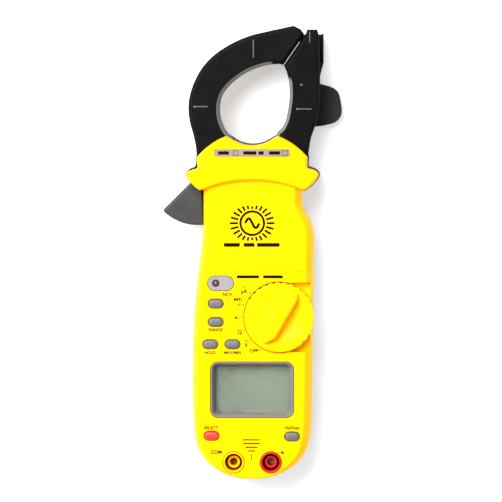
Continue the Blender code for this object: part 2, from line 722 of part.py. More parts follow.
def case_pieces():
    front_case()
    rear_case()
    for number, place in enumerate(SCREWS, 1):
        screw(f"case_screw_{number}", place, 1.2, 3.3, REAR_DEPTH + 10.0)
    lid = prism("battery_cover", cover_outline(-FIT, 1.7), 0.0, COVER_DEPTH, BLACK)
    ribs = [prism("rib", rectangle((0.0, CELL_Y - BAY_HALF_LENGTH + 6.0 + 2.0 * row), 12.0, 0.9), -1.0, 0.5)
            for row in range(5)]
    place = (0.0, COVER_SCREW_Y)
    cut(lid, prism("hole", circle(place, SCREW_RADIUS + 0.3, 16), -1.0, 4.0),
        prism("sink", circle(place, SCREW_HEAD + 0.3, 16), -1.0, 1.1), *ribs)
    screw("battery_screw", place, 0.05, 0.85, 6.0, SCREW_RADIUS - 0.1, SCREW_HEAD - 0.1)
    prism("rear_label", rectangle((0.0, above(-24.0)), 28.0, 16.0, 1.3, 2), 0.1, 0.4, GREY)
    prism("head_label", rectangle((0.0, above(11.5)), 38.3, 3.6, 0.4, 2), HEAD_Z - 0.25, HEAD_Z + 0.05, LABEL)


# ---------------------------------------------------------------- jaws and lever

def half_levels(front, depth, chamfer):
    """Levels of one moulded half: from the split to its face, with a chamfered rim."""
    gap = FIT / 2
    half = depth / 2
    levels = ((gap, 0.0), (half - chamfer, 0.0), (half, -chamfer)) if chamfer else ((gap, 0.0), (half, 0.0))
    sign = 1 if front else -1
    return [(JAW_SPLIT_Z + sign * height, growth) for height, growth in levels]


def core_room(path):
    """Room inside a jaw half for its core and winding."""
    half_width, half_depth = CORE_WIDTH / 2 + COIL_BUILD + 0.4, CORE_DEPTH / 2 + COIL_BUILD + 0.4
    section = [(-half_width, -half_depth), (half_width, -half_depth), (half_width, half_depth),
               (-half_width, half_depth)]
    return swept("core room", path, section)


def lever_half(name, front):
    centre = (PIVOT_X, PIVOT_Y)
    half = stack(name, moving_outline(), half_levels(front, JAW_DEPTH, JAW_CHAMFER), BLACK,
                 (PIVOT_X, PIVOT_Y, JAW_SPLIT_Z))
    hub_levels = half_levels(front, JAW_DEPTH, 0.0)
    hub = stack("hub", circle(centre, HUB_RADIUS, 20), hub_levels)
    trigger = stack("trigger", trigger_outline(), half_levels(front, TRIGGER_DEPTH, 1.0))
    join(half, hub, trigger)
    if not front:
        join(half, prism("peg", circle(polar(7.0, 52.0), 1.0, 12), JAW_LOW - 1.6, JAW_LOW + 2.0))
    cut(half, core_room(magnet_path(MOVING_CENTRE, 0.0, 1.0)),
        prism("pin hole", circle(centre, PIN_RADIUS + 0.25), JAW_LOW - 4, JAW_HIGH + 4))
    return half


def fixed_half(name, front):
    half = stack(name, fixed_outline(), half_levels(front, JAW_DEPTH, JAW_CHAMFER), BLACK)
    return cut(half, core_room(magnet_path(FIXED_CENTRE, 0.0, 1.0)))


def magnet(name, coil_name, points, coil_start, coil_end):
    """A laminated core along a jaw and the winding round part of it."""
    def box(width, depth):
        return [(-width / 2, -depth / 2), (width / 2, -depth / 2), (width / 2, depth / 2),
                (-width / 2, depth / 2)]

    swept(name, magnet_path(points, 0.02, 0.98), box(CORE_WIDTH, CORE_DEPTH), IRON)
    bore = box(CORE_WIDTH + 2 * FIT, CORE_DEPTH + 2 * FIT)
    outer = box(CORE_WIDTH + 2 * COIL_BUILD, CORE_DEPTH + 2 * COIL_BUILD)
    swept(coil_name, magnet_path(points, coil_start, coil_end), outer, COPPER, bore)


def return_spring():
    """Torsion spring round the pin: one leg bears on the case, the other on the lever's peg."""
    wire, radius, turns, low, rise, leg = 0.35, 3.2, 3, 2.9, 2.6, 4.6
    first_leg, last_leg = -10.0, 38.0
    start, end = first_leg + 90.0, 360.0 * turns + last_leg - 90.0
    steps = 10 * turns
    coil = []
    for step in range(steps + 1):
        share = step / steps
        turn = math.radians(start + (end - start) * share)
        coil.append((PIVOT_X + radius * math.cos(turn), PIVOT_Y + radius * math.sin(turn),
                     low + rise * share))

    def beyond(spot, degrees):
        turn = math.radians(degrees)
        return (spot[0] + math.cos(turn) * leg, spot[1] + math.sin(turn) * leg, spot[2])

    path = [beyond(coil[0], first_leg)] + coil + [beyond(coil[-1], last_leg)]
    section = [(wire * math.cos(math.radians(90 * side)), wire * math.sin(math.radians(90 * side)))
               for side in range(4)]
    smooth_round(swept("return_spring", path, section, STEEL))


def jaw_pieces():
    lever_half("lever_front", True)
    lever_half("lever_rear", False)
    fixed_half("fixed_jaw_front", True)
    fixed_half("fixed_jaw_rear", False)
    magnet("moving_core", "moving_coil", MOVING_CENTRE, 0.12, 0.45)
    magnet("fixed_core", "fixed_coil", FIXED_CENTRE, 0.4, 0.8)
    pin = turned_body("pivot_pin", (PIVOT_X, PIVOT_Y), (
        (PIN_RADIUS - 0.3, 2.6), (PIN_RADIUS, 2.9), (PIN_RADIUS, HEAD_Z - 3.6),
        (PIN_RADIUS - 0.3, HEAD_Z - 3.3),
    ), STEEL)
    smooth_round(pin)
    return_spring()
    probe_holder()


def probe_holder():
    """Clip plate behind the fixed jaw that parks a test probe, with its tab at the side."""
    tab = curve([
        (31.0, above(24.3)), (36.5, above(25.0)), (42.0, above(26.5)), (44.6, above(28.6)),
        (45.8, above(31.5)),
        (45.2, above(38.0)), (43.8, above(42.5)), (40.7, above(44.8)), (33.6, above(46.8)),
    ])
    outline = [(24.0, above(24.3))] + tab + [(36.4, above(57.0)), (36.4, above(72.0)), (24.0, above(72.0))]
    high = JAW_LOW - FIT
    plate = stack("probe_holder", outline, ((high - 4.4, -0.8), (high - 3.6, 0.0), (high, 0.0)), DARK)
    lip = rectangle((35.9, above(64.7)), 1.2, 14.6)
    join(plate, prism("lip", lip, high - 2.0, high + 7.5))
    screw_place = (28.6, above(44.0))
    cut(plate, prism("hole", circle(screw_place, SCREW_RADIUS + FIT, 12), 0.0, 12.0),
        prism("sink", circle(screw_place, SCREW_HEAD + FIT, 16), 0.0, high - 2.4))
    screw("holder_screw", screw_place, high - 4.0, high - 2.7, JAW_LOW - 0.5 + 0.2)


# ---------------------------------------------------------------- display

def display_pieces():
    centre = (0.0, LCD_Y)
    glass_width, glass_height = LCD_WIDTH - 2 * LCD_BORDER, LCD_HEIGHT - 2 * LCD_BORDER
    top = FACE_Z - LCD_RECESS
    frame = stack("lcd_frame", rectangle(centre, LCD_WIDTH + 3.0, LCD_HEIGHT + 3.0, 4.4), (
        (top - 1.6, 0.0), (CEILING - FIT, 0.0),
    ), BEZEL)
    rim = prism("rim", rectangle(centre, LCD_WIDTH - 2 * FIT, LCD_HEIGHT - 2 * FIT, 4.0), CEILING - 1,
                FACE_Z - 0.4)
    join(frame, rim)
    flare = stack("flare", rectangle(centre, glass_width, glass_height, 1.6), (
        (top - 3.0, 0.0), (top, 0.0), (FACE_Z, LCD_BORDER - 0.9),
    ))
    cut(frame, flare)
    lens_top = top - 1.6 - FIT
    prism("lcd_window", rectangle(centre, LCD_WIDTH + 2.0, LCD_HEIGHT + 2.0, 1.0, 1), lens_top - 1.0,
          lens_top, CLEAR)
    glass_top = lens_top - 1.0 - FIT
    prism("lcd_glass", rectangle(centre, LCD_WIDTH + 1.0, LCD_HEIGHT + 1.0), glass_top - 1.6, glass_top,
          LCD_GREEN)
    light_top = glass_top - 1.6 - FIT
    prism("backlight", rectangle((0.0, LCD_Y - 1.6), LCD_WIDTH + 1.0, LCD_HEIGHT - 3.0), light_top - 1.8,
          light_top,
          WHITE)
    prism("zebra_strip", rectangle((0.0, LCD_Y + LCD_HEIGHT / 2 - 0.6), LCD_WIDTH - 2.0, 1.8),
          BOARD_TOP + FIT,
          light_top, RUBBER)


# ---------------------------------------------------------------- selector

def grip_bar(grown_by):
    """Outline of the bar across the knob, pointing along KNOB_POINTS, with a blunt nose."""
    half_length, half_width = KNOB_RADIUS - 2.6, 4.6
    shape = [
        (half_length + grown_by, -1.2), (half_length + grown_by, 1.2),
        (half_length - 5.0, half_width + grown_by),
        (-half_length + 3.0, half_width + grown_by), (-half_length, 2.6), (-half_length, -2.6),
        (-half_length + 3.0, -half_width - grown_by), (half_length - 5.0, -half_width - grown_by),
    ]
    placed = [(KNOB_X + x, KNOB_Y + y) for x, y in shape]
    return turned(placed, (KNOB_X, KNOB_Y), KNOB_POINTS)


def knob_rim(inset, z):
    """Round outline at one height, with shallow finger notches where the thumb reaches."""
    points = []
    pitch = 360.0 / KNOB_NOTCHES
    start, end = KNOB_GRIPPED
    for step in range(KNOB_NOTCHES):
        gripped = step * pitch < end - start
        for share, depth in ((0.0, 0.0), (0.45, 0.0), (0.6, 0.7), (0.85, 0.7)) if gripped else ((0.0, 0.0),
                                                                                                (0.5, 0.0)):
            turn = math.radians(start + pitch * (step + share))
            radius = KNOB_RADIUS - depth - inset
            points.append((KNOB_X + radius * math.cos(turn), KNOB_Y + radius * math.sin(turn), z))
    return points


def selector_pieces():
    centre = (KNOB_X, KNOB_Y)
    low = WELL_FLOOR + 0.5
    axis = (KNOB_X, KNOB_Y, low)
    top = FACE_Z + KNOB_RISE
    knob = loft("selector_knob", [knob_rim(0.0, low), knob_rim(0.0, top - 0.8), knob_rim(0.8, top)], YELLOW,
                axis)
    bar_rings = [
        [(x, y, z) for x, y in grip_bar(growth)]
        for z, growth in ((top - 1.4, 0.8), (FACE_Z + KNOB_GRIP_RISE - 1.0, 0.0),
                          (FACE_Z + KNOB_GRIP_RISE, -1.2))
    ]
    shaft = turned_body("shaft", centre, ((KNOB_SHAFT_RADIUS, low + 1), (KNOB_SHAFT_RADIUS,
                                                                         BOARD_TOP + 2.6)), GREY,
                        24)
    detent = turned([(KNOB_X + KNOB_RADIUS - 5.9, KNOB_Y)], centre, KNOB_POINTS + 175.0)[0]
    cut(knob, prism("pocket", circle(detent, 1.5, 16), low - 1, low + 4.0))
    join(knob, shaft)
    join(knob, loft("bar", bar_rings))

    ball_radius = 1.1
    ball_z = WELL_FLOOR + FIT + ball_radius
    rings = []
    for step in range(1, 6):
        turn = math.pi * step / 6
        rings.append((ball_radius * math.sin(turn), ball_z - ball_radius * math.cos(turn)))
    ball = turned_body("detent_ball", detent, rings, STEEL, 10, axis)
    smooth_round(ball)
    wire = 0.16
    path = []
    for step in range(3 * 8 + 1):
        turn = 2 * math.pi * step / 8
        path.append((detent[0] + 0.85 * math.cos(turn), detent[1] + 0.85 * math.sin(turn),
                     ball_z + ball_radius + 0.35 + 0.055 * step))
    section = [(wire * math.cos(math.radians(90 * side)), wire * math.sin(math.radians(90 * side)))
               for side in range(4)]
    swept("detent_spring", path, section, STEEL)

    carrier = prism("wiper_carrier", circle(centre, 10.0, 24), BOARD_TOP + 2.4, BOARD_TOP + 4.2, WHITE, axis)
    cut(carrier, prism("bore", circle(centre, KNOB_SHAFT_RADIUS + FIT), BOARD_TOP, BOARD_TOP + 6))
    ring = prism("wiper_contacts", circle(centre, 9.2, 20), BOARD_TOP + 1.7, BOARD_TOP + 2.1, BRASS, axis)
    spokes = [prism("finger", turned(rectangle((KNOB_X + 7.4, KNOB_Y), 2.4, 1.0), centre, turn),
                    BOARD_TOP + 0.4,
                    BOARD_TOP + 1.9) for turn in (30.0, 150.0, 270.0)]
    cut(ring, prism("bore", circle(centre, 5.6), BOARD_TOP, BOARD_TOP + 6))
    join(ring, *spokes)


# ---------------------------------------------------------------- buttons, window, jacks, board

def button_pieces():
    for name, place in BUTTONS.items():
        look = RED if name == "button_select" else GREY
        low = BOARD_TOP + 5.0
        cap = stack(name, pill(place, BUTTON_LENGTH, BUTTON_WIDTH), (
            (low + 2.6, 0.0), (FACE_Z + BUTTON_RISE - 0.6, 0.0), (FACE_Z + BUTTON_RISE, -0.6),
        ), look, (*place, FACE_Z))
        flange = prism("flange", pill(place, BUTTON_LENGTH + 2 * FLANGE, BUTTON_WIDTH + 2 * FLANGE),
                       low + 2.0,
                       CEILING - FIT)
        join(cap, flange, prism("stem", circle(place, 1.6, 12), low, low + 3.0))
        switch = prism(name.replace("button", "switch"), rectangle(place, 6.0, 6.0), BOARD_TOP + FIT,
                       BOARD_TOP + 2.9, BLACK)
        join(switch, prism("plunger", circle(place, 1.5, 12), BOARD_TOP + 2.5, low - BUTTON_TRAVEL - 0.2))

    window = stack("led_window", pill(WINDOW_PLACE, WINDOW_LENGTH, WINDOW_WIDTH), (
        (CEILING - 1.0, 0.0), (FACE_Z - 0.3, 0.0), (FACE_Z, -0.3),
    ), PALE)
    join(window, prism("flange", pill(WINDOW_PLACE, WINDOW_LENGTH + 2 * FLANGE, WINDOW_WIDTH + 2 * FLANGE),
                       CEILING - 1.6, CEILING - FIT))
    cut(window, prism("hole", circle(LED_PLACE, LED_RADIUS + FIT), CEILING - 3, FACE_Z + 1))
    dome = FACE_Z - 1.4
    led = turned_body("ncv_led", LED_PLACE, (
        (LED_RADIUS + 0.3, BOARD_TOP + FIT), (LED_RADIUS + 0.3, BOARD_TOP + 1.4),
        (LED_RADIUS, BOARD_TOP + 1.4),
        (LED_RADIUS, dome), (LED_RADIUS * 0.86, dome + 0.8), (LED_RADIUS * 0.5, dome + 1.3),
        (0.3, dome + 1.5),
    ), RED, 12)
    smooth_round(led)


def jack_pieces():
    rim = FACE_Z + JACK_RISE
    floor = REAR_DEPTH + 0.6
    for name, x in JACKS.items():
        centre = (x, JACK_Y)
        look = YELLOW if name == "com" else RED
        shroud = turned_body(f"jack_{name}_shroud", centre, (
            (JACK_RADIUS, floor), (JACK_RADIUS, rim - 0.4), (JACK_RADIUS - 0.4, rim),
        ), look, 20)
        cut(shroud, prism("bore", circle(centre, JACK_BORE, 20), floor + 1.6, rim + 1),
            prism("tail hole", circle(centre, POST_RADIUS - 0.8, 12), floor - 1, floor + 2))
        smooth_round(shroud)
        low = floor + 1.6 + FIT
        socket = turned_body(f"jack_{name}_socket", centre, (
            (POST_RADIUS - 1.4, floor - 2.0), (POST_RADIUS - 1.4, low), (POST_RADIUS, low),
            (POST_RADIUS, rim - POST_SINK - 0.3), (POST_RADIUS - 0.3, rim - POST_SINK),
        ), BRASS, 16)
        cut(socket, prism("bore", circle(centre, POST_BORE, 12), low + 1.5, rim))
        smooth_round(socket)


def board_pieces():
    half, low = BODY_HALF_WIDTH - 4.6, from_bottom(17.0)
    step_y, high = from_bottom(104.0), above(-29.0)
    outline = [
        (-half, low + 5.0), (-half + 2.5, low), (half - 2.5, low), (half, low + 5.0), (half, step_y),
        (15.0, step_y),
        (15.0, high), (-12.0, high), (-12.0, step_y), (3.1 - WAIST_HALF_WIDTH, step_y),
        (-half, from_bottom(85.2)),
    ]
    board = prism("circuit_board", outline, BOARD_Z, BOARD_TOP, BOARD)
    cut(board, prism("shaft hole", circle((KNOB_X, KNOB_Y), 3.2), BOARD_Z - 1, BOARD_TOP + 1))
    prism("processor_chip", rectangle((-4.0, LCD_Y), 14.0, 14.0), BOARD_TOP + FIT, BOARD_TOP + 1.6, BLACK)
    buzzer = turned_body("buzzer", (2.0, above(-37.0)), (
        (6.0, BOARD_TOP + FIT), (6.0, BOARD_TOP + 4.4), (5.6, BOARD_TOP + 4.8),
    ), BLACK, 20)
    cut(buzzer, prism("sound hole", circle((2.0, above(-37.0)), 1.2, 12), BOARD_TOP + 3.5, BOARD_TOP + 6))
    smooth_round(buzzer)


def battery_pieces():
    half = CELL_LENGTH / 2
    for number, (x, way) in enumerate(((-CELL_X, 1), (CELL_X, -1)), 1):
        rings = []
        for radius, along in ((CELL_RADIUS - 0.3, -half), (CELL_RADIUS, -half + 0.3),
                              (CELL_RADIUS, half - 1.4),
                              (CELL_RADIUS - 0.4, half - 1.0), (1.9, half - 1.0), (1.9, half)):
            rings.append([(across, CELL_Y + way * along, rise) for across,
                          rise in circle((x, CELL_Z), radius, 16)])
        cell = loft(f"battery_{number}", rings, STEEL)
        smooth_round(cell)
    end = BAY_HALF_LENGTH - FIT
    thin = 0.4

    def contact(name, low_x, high_x, side):
        """A stamped strip with its leaf bent towards the cell."""
        profile = [
            (end, CELL_Z - 4.0), (end, CELL_Z + 4.0), (end - thin, CELL_Z + 4.0), (end - 1.6, CELL_Z + 0.6),
            (end - 1.6, CELL_Z - 0.6), (end - thin, CELL_Z - 4.0),
        ]
        rings = [[(x, CELL_Y + side * along, rise) for along, rise in profile] for x in (low_x, high_x)]
        loft(name, rings, STEEL)

    inner, outer = CELL_X - 3.0, CELL_X + 3.0
    contact("contact_bridge", -outer, outer, 1)
    contact("contact_negative", -outer, -inner, -1)
    contact("contact_positive", inner, outer, -1)


def main():
    for thing in list(bpy.data.objects):
        bpy.data.objects.remove(thing)
    case_pieces()
    jaw_pieces()
    display_pieces()
    selector_pieces()
    button_pieces()
    jack_pieces()
    board_pieces()
    battery_pieces()


main()
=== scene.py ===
"""Looks of a clamp-type digital multimeter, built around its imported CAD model.

Sizes are in millimetres in the model's own frame and MM turns them into metres. The outlines follow the
same measures as the CAD model, with more points, softer edges and the small details that the CAD leaves out.
"""

import math

import bmesh
import bpy
from mathutils import Matrix, Vector


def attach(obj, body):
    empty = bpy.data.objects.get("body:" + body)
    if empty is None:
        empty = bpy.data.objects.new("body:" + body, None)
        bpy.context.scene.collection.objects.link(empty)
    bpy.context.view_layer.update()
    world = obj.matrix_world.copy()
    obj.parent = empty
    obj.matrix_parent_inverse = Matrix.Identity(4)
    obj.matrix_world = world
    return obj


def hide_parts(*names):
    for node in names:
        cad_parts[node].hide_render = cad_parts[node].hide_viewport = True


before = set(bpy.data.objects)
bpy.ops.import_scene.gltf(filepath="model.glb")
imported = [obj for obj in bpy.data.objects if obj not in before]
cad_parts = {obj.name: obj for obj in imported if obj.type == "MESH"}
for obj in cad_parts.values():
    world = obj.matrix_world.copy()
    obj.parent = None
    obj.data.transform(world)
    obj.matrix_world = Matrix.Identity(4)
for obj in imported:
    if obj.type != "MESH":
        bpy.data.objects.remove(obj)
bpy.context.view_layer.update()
MM = 0.001

# ---- overall sizes
BODY_HALF_WIDTH = 31.0
WAIST_HALF_WIDTH = 25.5
HEAD_HALF_WIDTH = 28.1
GUARD_HALF_WIDTH = 33.9
PIVOT = PIVOT_X, PIVOT_Y = -28.0, 40.0
BOTTOM_Y = -116.2
REAR_DEPTH, FACE_Z, HEAD_Z = 17.0, 34.0, 37.5
WALL = 2.2
CEILING = FACE_Z - WALL
FIT, SLIDE = 0.3, 0.35
END_SHARE = 0.3
STRIP_Y, STRIP_TOP = PIVOT_Y + 11.5, HEAD_Z + 0.05
GRIP_TOP, ROOM_TOP, PLATE_Y = PIVOT_Y + 1.0, PIVOT_Y - 6.0, PIVOT_Y - 24.0
GROOVE_ROWS, GROOVE_PITCH = 13, 3.5

# ---- jaws
HUB_RADIUS, PIN_RADIUS = 3.9, 1.8
LEVER_SWING = 22.0
JAW_SPLIT_Z, JAW_DEPTH = 18.0, 22.0
JAW_LOW, JAW_HIGH = JAW_SPLIT_Z - JAW_DEPTH / 2, JAW_SPLIT_Z + JAW_DEPTH / 2
TRIGGER_DEPTH, TRIGGER_RADIUS = 14.0, 25.8
TRIGGER_ANGLES = (225.0, 278.0)
CORE_WIDTH, CORE_DEPTH, COIL_BUILD = 6.0, 12.0, 2.0

# ---- controls
KNOB = KNOB_X, KNOB_Y = 13.8, -32.5
KNOB_RADIUS, KNOB_SHAFT_RADIUS = 17.9, 4.0
KNOB_POINTS = 240.0
KNOB_TOP, BAR_TOP = FACE_Z + 2.2, FACE_Z + 5.0
KNOB_NOTCHES, POINTS_PER_NOTCH, NOTCH_DEPTH = 30, 8, 0.55
LCD_Y, LCD_WIDTH, LCD_HEIGHT, LCD_RECESS, LCD_BORDER = -69.7, 43.0, 29.0, 3.2, 2.1
BUTTON_LENGTH, BUTTON_WIDTH, BUTTON_RISE, FLANGE = 7.6, 4.5, 1.0, 1.0
BUTTONS = {
    "detector": (-18.6, -25.6), "range": (-18.6, -35.0), "hold": (-21.4, -46.4),
    "peak": (-10.0, -46.4), "select": (-20.8, -93.3), "duty": (20.4, -93.6),
}
WINDOW_PLACE, WINDOW_LENGTH, WINDOW_WIDTH = (-16.1, -15.2), 13.2, 7.4
LED_PLACE, LED_RADIUS = (-18.6, -15.1), 1.55
JACK_X, JACK_Y, JACK_RADIUS, JACK_BORE, JACK_RISE = 9.525, -106.9, 5.4, 4.5, 0.4
POST_RADIUS, POST_BORE, POST_SINK = 3.15, 2.0, 4.4
BOARD_TOP = REAR_DEPTH + 3.6
CELL_Y = -62.7
CELL_RADIUS, CELL_LENGTH, COVER_SIDE, COVER_END, COVER_DEPTH = 5.2, 44.0, 1.5, 4.4, 1.8
BAY_HALF_WIDTH, BAY_HALF_LENGTH = 2 * CELL_RADIUS + 1.2, CELL_LENGTH / 2 + 2.6
BAY_TOP = COVER_DEPTH + FIT + 0.5 + 2 * CELL_RADIUS + 0.6
SCREW_RADIUS, SCREW_HEAD, THREAD_PITCH = 1.0, 2.2, 0.6
COVER_SCREW_Y = CELL_Y + BAY_HALF_LENGTH + COVER_END - SCREW_HEAD - 0.7
SCREWS = [(-21.0, -104.0), (21.0, -104.0), (-19.3, 5.0), (19.3, 5.0), (2.0, 47.0)]


def above(y):
    return PIVOT_Y + y


def from_pivot(points):
    """Points whose Y is counted from the jaws' pivot."""
    return [(x, PIVOT_Y + y) for x, y in points]


def from_bottom(y):
    return BOTTOM_Y + y


# ---- materials

def node(tree, kind, **values):
    """A shader node; values are its sockets, with _ for a space, or its settings."""
    made = tree.nodes.new("ShaderNode" + kind)
    for key, value in values.items():
        socket = key.replace("_", " ")
        if socket in made.inputs:
            made.inputs[socket].default_value = value
        else:
            setattr(made, key, value)
    return made


def link(source, output, target, socket):
    source.id_data.links.new(source.outputs[output], target.inputs[socket])


def shades_of(tree, low, low_colour, high, high_colour):
    """A colour ramp between two places."""
    ramp = node(tree, "ValToRGB")
    for element, place, colour in zip(ramp.color_ramp.elements, (low, high), (low_colour, high_colour)):
        element.position, element.color = place, (*colour, 1.0)
    return ramp


def finish_of(name, colour, roughness, metallic=0.0, mottle=0.06, mottle_size=9.0, grain=0.25, grain_size=0.45,
              vary=0.08, stretch=(1.0, 1.0, 1.0), streaks=0.0, **shader_values):
    """A procedural finish: slow colour drift, uneven gloss and a fine moulded or brushed surface.

    Sizes are in millimetres. stretch scales the surface pattern along X, Y and Z.
    """
    material = bpy.data.materials.new(name)
    material.use_nodes = True
    tree = material.node_tree
    shader = tree.nodes["Principled BSDF"]
    place = node(tree, "TexCoord")
    pattern = node(tree, "Mapping", Scale=stretch)
    link(place, "Object", pattern, "Vector")

    drift = node(tree, "TexNoise", Scale=1000.0 / mottle_size, Detail=4.0, Roughness=0.6)
    link(pattern, "Vector", drift, "Vector")
    shades = shades_of(tree, 0.3, tuple(part * (1 - mottle) for part in colour),
                       0.7, tuple(min(1.0, part * (1 + mottle)) for part in colour))
    link(drift, "Fac", shades, "Fac")
    link(shades, "Color", shader, "Base Color")

    fine = node(tree, "TexNoise", Scale=1000.0 / grain_size, Detail=3.0, Roughness=0.55)
    link(pattern, "Vector", fine, "Vector")
    gloss = node(tree, "MapRange", From_Min=0.3, From_Max=0.7, To_Min=max(0.02, roughness - vary),
                 To_Max=min(1.0, roughness + vary))
    link(drift, "Fac", gloss, "Value")
    link(gloss, "Result", shader, "Roughness")

    bump = node(tree, "Bump", Strength=grain, Distance=0.04 * MM)
    if streaks:
        lines = node(tree, "TexWave", Scale=1000.0 / streaks, Distortion=1.5, Detail=2.0)
        link(pattern, "Vector", lines, "Vector")
        both = node(tree, "Math", operation="ADD")
        link(fine, "Fac", both, 0)
        link(lines, "Fac", both, 1)
        link(both, "Value", bump, "Height")
    else:
        link(fine, "Fac", bump, "Height")
    link(bump, "Normal", shader, "Normal")
    shader.inputs["Metallic"].default_value = metallic
    for key, value in shader_values.items():
        shader.inputs[key.replace("_", " ")].default_value = value
    return material


YELLOW = finish_of("moulded yellow", (1.0, 0.54, 0.0), 0.42, mottle=0.015, grain=0.3, Specular_IOR_Level=0.03)
YELLOW_KNOB = finish_of("knob yellow", (1.0, 0.55, 0.0), 0.33, mottle=0.015, grain=0.12, Specular_IOR_Level=0.06)
BLACK = finish_of("satin black", (0.0035, 0.0035, 0.0038), 0.38, mottle=0.15, grain=0.3, grain_size=0.35,
                  Specular_IOR_Level=0.045)
BLACK_REAR = finish_of("rear shell", (0.022, 0.022, 0.024), 0.5, mottle=0.12, grain=0.5, grain_size=0.5)
# painted reflection: the jaws' inner chamfer is made lighter grey, standing in for the sheen the light leaves there
PAINTED_CHAMFER_SHEEN = finish_of("chamfer painted reflection", (0.13, 0.13, 0.135), 0.38, mottle=0.1, grain=0.15)
MARK = finish_of("raised mark", (0.09, 0.09, 0.095), 0.4, mottle=0.1)
DARK = finish_of("dark grey plastic", (0.03, 0.03, 0.0315), 0.4, mottle=0.1, grain=0.3, Specular_IOR_Level=0.3)
TAB = finish_of("dark clip plastic", (0.014, 0.014, 0.015), 0.4, mottle=0.1, grain=0.3, Specular_IOR_Level=0.2)
CAP_GREY = finish_of("button grey", (0.11, 0.11, 0.112), 0.5, grain=0.2)
CAP_RED = finish_of("button red", (0.62, 0.03, 0.022), 0.45, mottle=0.04, grain=0.2)
JACK_RED = finish_of("jack red", (0.7, 0.006, 0.004), 0.38, mottle=0.05, grain=0.15)
BEZEL = finish_of("bezel", (0.185, 0.155, 0.163), 0.42, mottle=0.05, grain=0.2)
WINDOW = finish_of("pale window", (0.26, 0.235, 0.235), 0.35, mottle=0.04, grain=0.1)
LED_TINT = finish_of("diode resin", (0.13, 0.055, 0.045), 0.2, mottle=0.1, grain=0.05)
LABEL = finish_of("head label", (0.24, 0.19, 0.155), 0.4, mottle_size=4.0, grain=0.1)
REAR_LABEL = finish_of("rear label", (0.3, 0.3, 0.31), 0.45, mottle=0.05, grain=0.1)
PRINT = finish_of("printed ink", (0.004, 0.002, 0.001), 0.5, mottle=0.2, mottle_size=1.0, grain=0.1,
                  Specular_IOR_Level=0.05)
PALE_PRINT = finish_of("pale ink", (0.5, 0.5, 0.5), 0.5, mottle=0.1, mottle_size=1.0, grain=0.1)
STEEL = finish_of("zinc plated steel", (0.55, 0.54, 0.52), 0.32, 1.0, mottle=0.1, mottle_size=3.0, grain=0.2,
                  stretch=(1.0, 1.0, 4.0))
BRASS = finish_of("brass", (0.42, 0.25, 0.09), 0.28, 1.0, mottle=0.12, mottle_size=2.0, grain=0.15)
COPPER = finish_of("enamelled copper", (0.48, 0.17, 0.07), 0.3, 0.6, mottle=0.15, grain=0.5, streaks=0.35)
IRON = finish_of("laminated iron", (0.25, 0.25, 0.26), 0.45, 0.9, grain=0.6, streaks=0.5)
BOARD = finish_of("solder mask", (0.01, 0.12, 0.04), 0.35, mottle=0.25, mottle_size=2.5, grain=0.3)
CHIP = finish_of("chip epoxy", (0.02, 0.02, 0.02), 0.6, grain=0.4, grain_size=0.2)
WHITE = finish_of("diffuser white", (0.7, 0.7, 0.68), 0.5, grain=0.1)
RUBBER = finish_of("striped rubber", (0.06, 0.06, 0.06), 0.8, mottle=0.3, streaks=0.3)
SLEEVE = finish_of("cell sleeve", (0.10, 0.12, 0.16), 0.3, mottle=0.2, mottle_size=6.0, grain=0.05)

# clear moulded lens over the unlit grey-green film of the display
LENS = finish_of("clear lens", (0.9, 0.93, 0.91), 0.06, mottle=0.02, vary=0.02, grain=0.02,
                 Transmission_Weight=1.0, IOR=1.2)
DISPLAY = finish_of("display film", (0.25, 0.275, 0.215), 0.3, mottle=0.10, mottle_size=60.0, grain=0.05)


# ---- outlines, as lists of (x, y)

def arc(centre, radius, start, end, steps):
    points = []
    for step in range(steps + 1):
        turn = math.radians(start + (end - start) * step / steps)
        points.append((centre[0] + radius * math.cos(turn), centre[1] + radius * math.sin(turn)))
    return points


def circle(centre, radius, steps=40):
    return arc(centre, radius, 0.0, 360.0, steps)[:-1]


def pill(centre, length, width, steps=14):
    reach = (length - width) / 2
    return (arc((centre[0] + reach, centre[1]), width / 2, -90, 90, steps)
            + arc((centre[0] - reach, centre[1]), width / 2, 90, 270, steps))


def rectangle(centre, width, height, corner=0.0, steps=8):
    x, y = centre
    half_x, half_y = width / 2 - corner, height / 2 - corner
    if corner == 0:
        return [(x - half_x, y - half_y), (x + half_x, y - half_y), (x + half_x, y + half_y), (x - half_x, y + half_y)]
    points = []
    for sign_x, sign_y, start in ((1, -1, -90), (1, 1, 0), (-1, 1, 90), (-1, -1, 180)):
        points += arc((x + sign_x * half_x, y + sign_y * half_y), corner, start, start + 90, steps)
    return points


def between(first, second, start, end, t):
    return first + (second - first) * (t - start) / (end - start)


def curve(points, steps=5):
    """An open centripetal Catmull-Rom curve through the points, both ends included."""
    spots = [Vector(point) for point in points]
    spots = [2 * spots[0] - spots[1]] + spots + [2 * spots[-1] - spots[-2]]
    result = []
    for index in range(1, len(spots) - 2):
        p0, p1, p2, p3 = spots[index - 1:index + 3]
        k1 = math.sqrt((p1 - p0).length)
        k2 = k1 + math.sqrt((p2 - p1).length)
        k3 = k2 + math.sqrt((p3 - p2).length)
        for step in range(steps):
            t = k1 + (k2 - k1) * step / steps
            a1, a2, a3 = between(p0, p1, 0.0, k1, t), between(p1, p2, k1, k2, t), between(p2, p3, k2, k3, t)
            b1, b2 = between(a1, a2, 0.0, k2, t), between(a2, a3, k1, k3, t)
            result.append(tuple(between(b1, b2, k1, k2, t)))
    return result + [tuple(points[-1])]


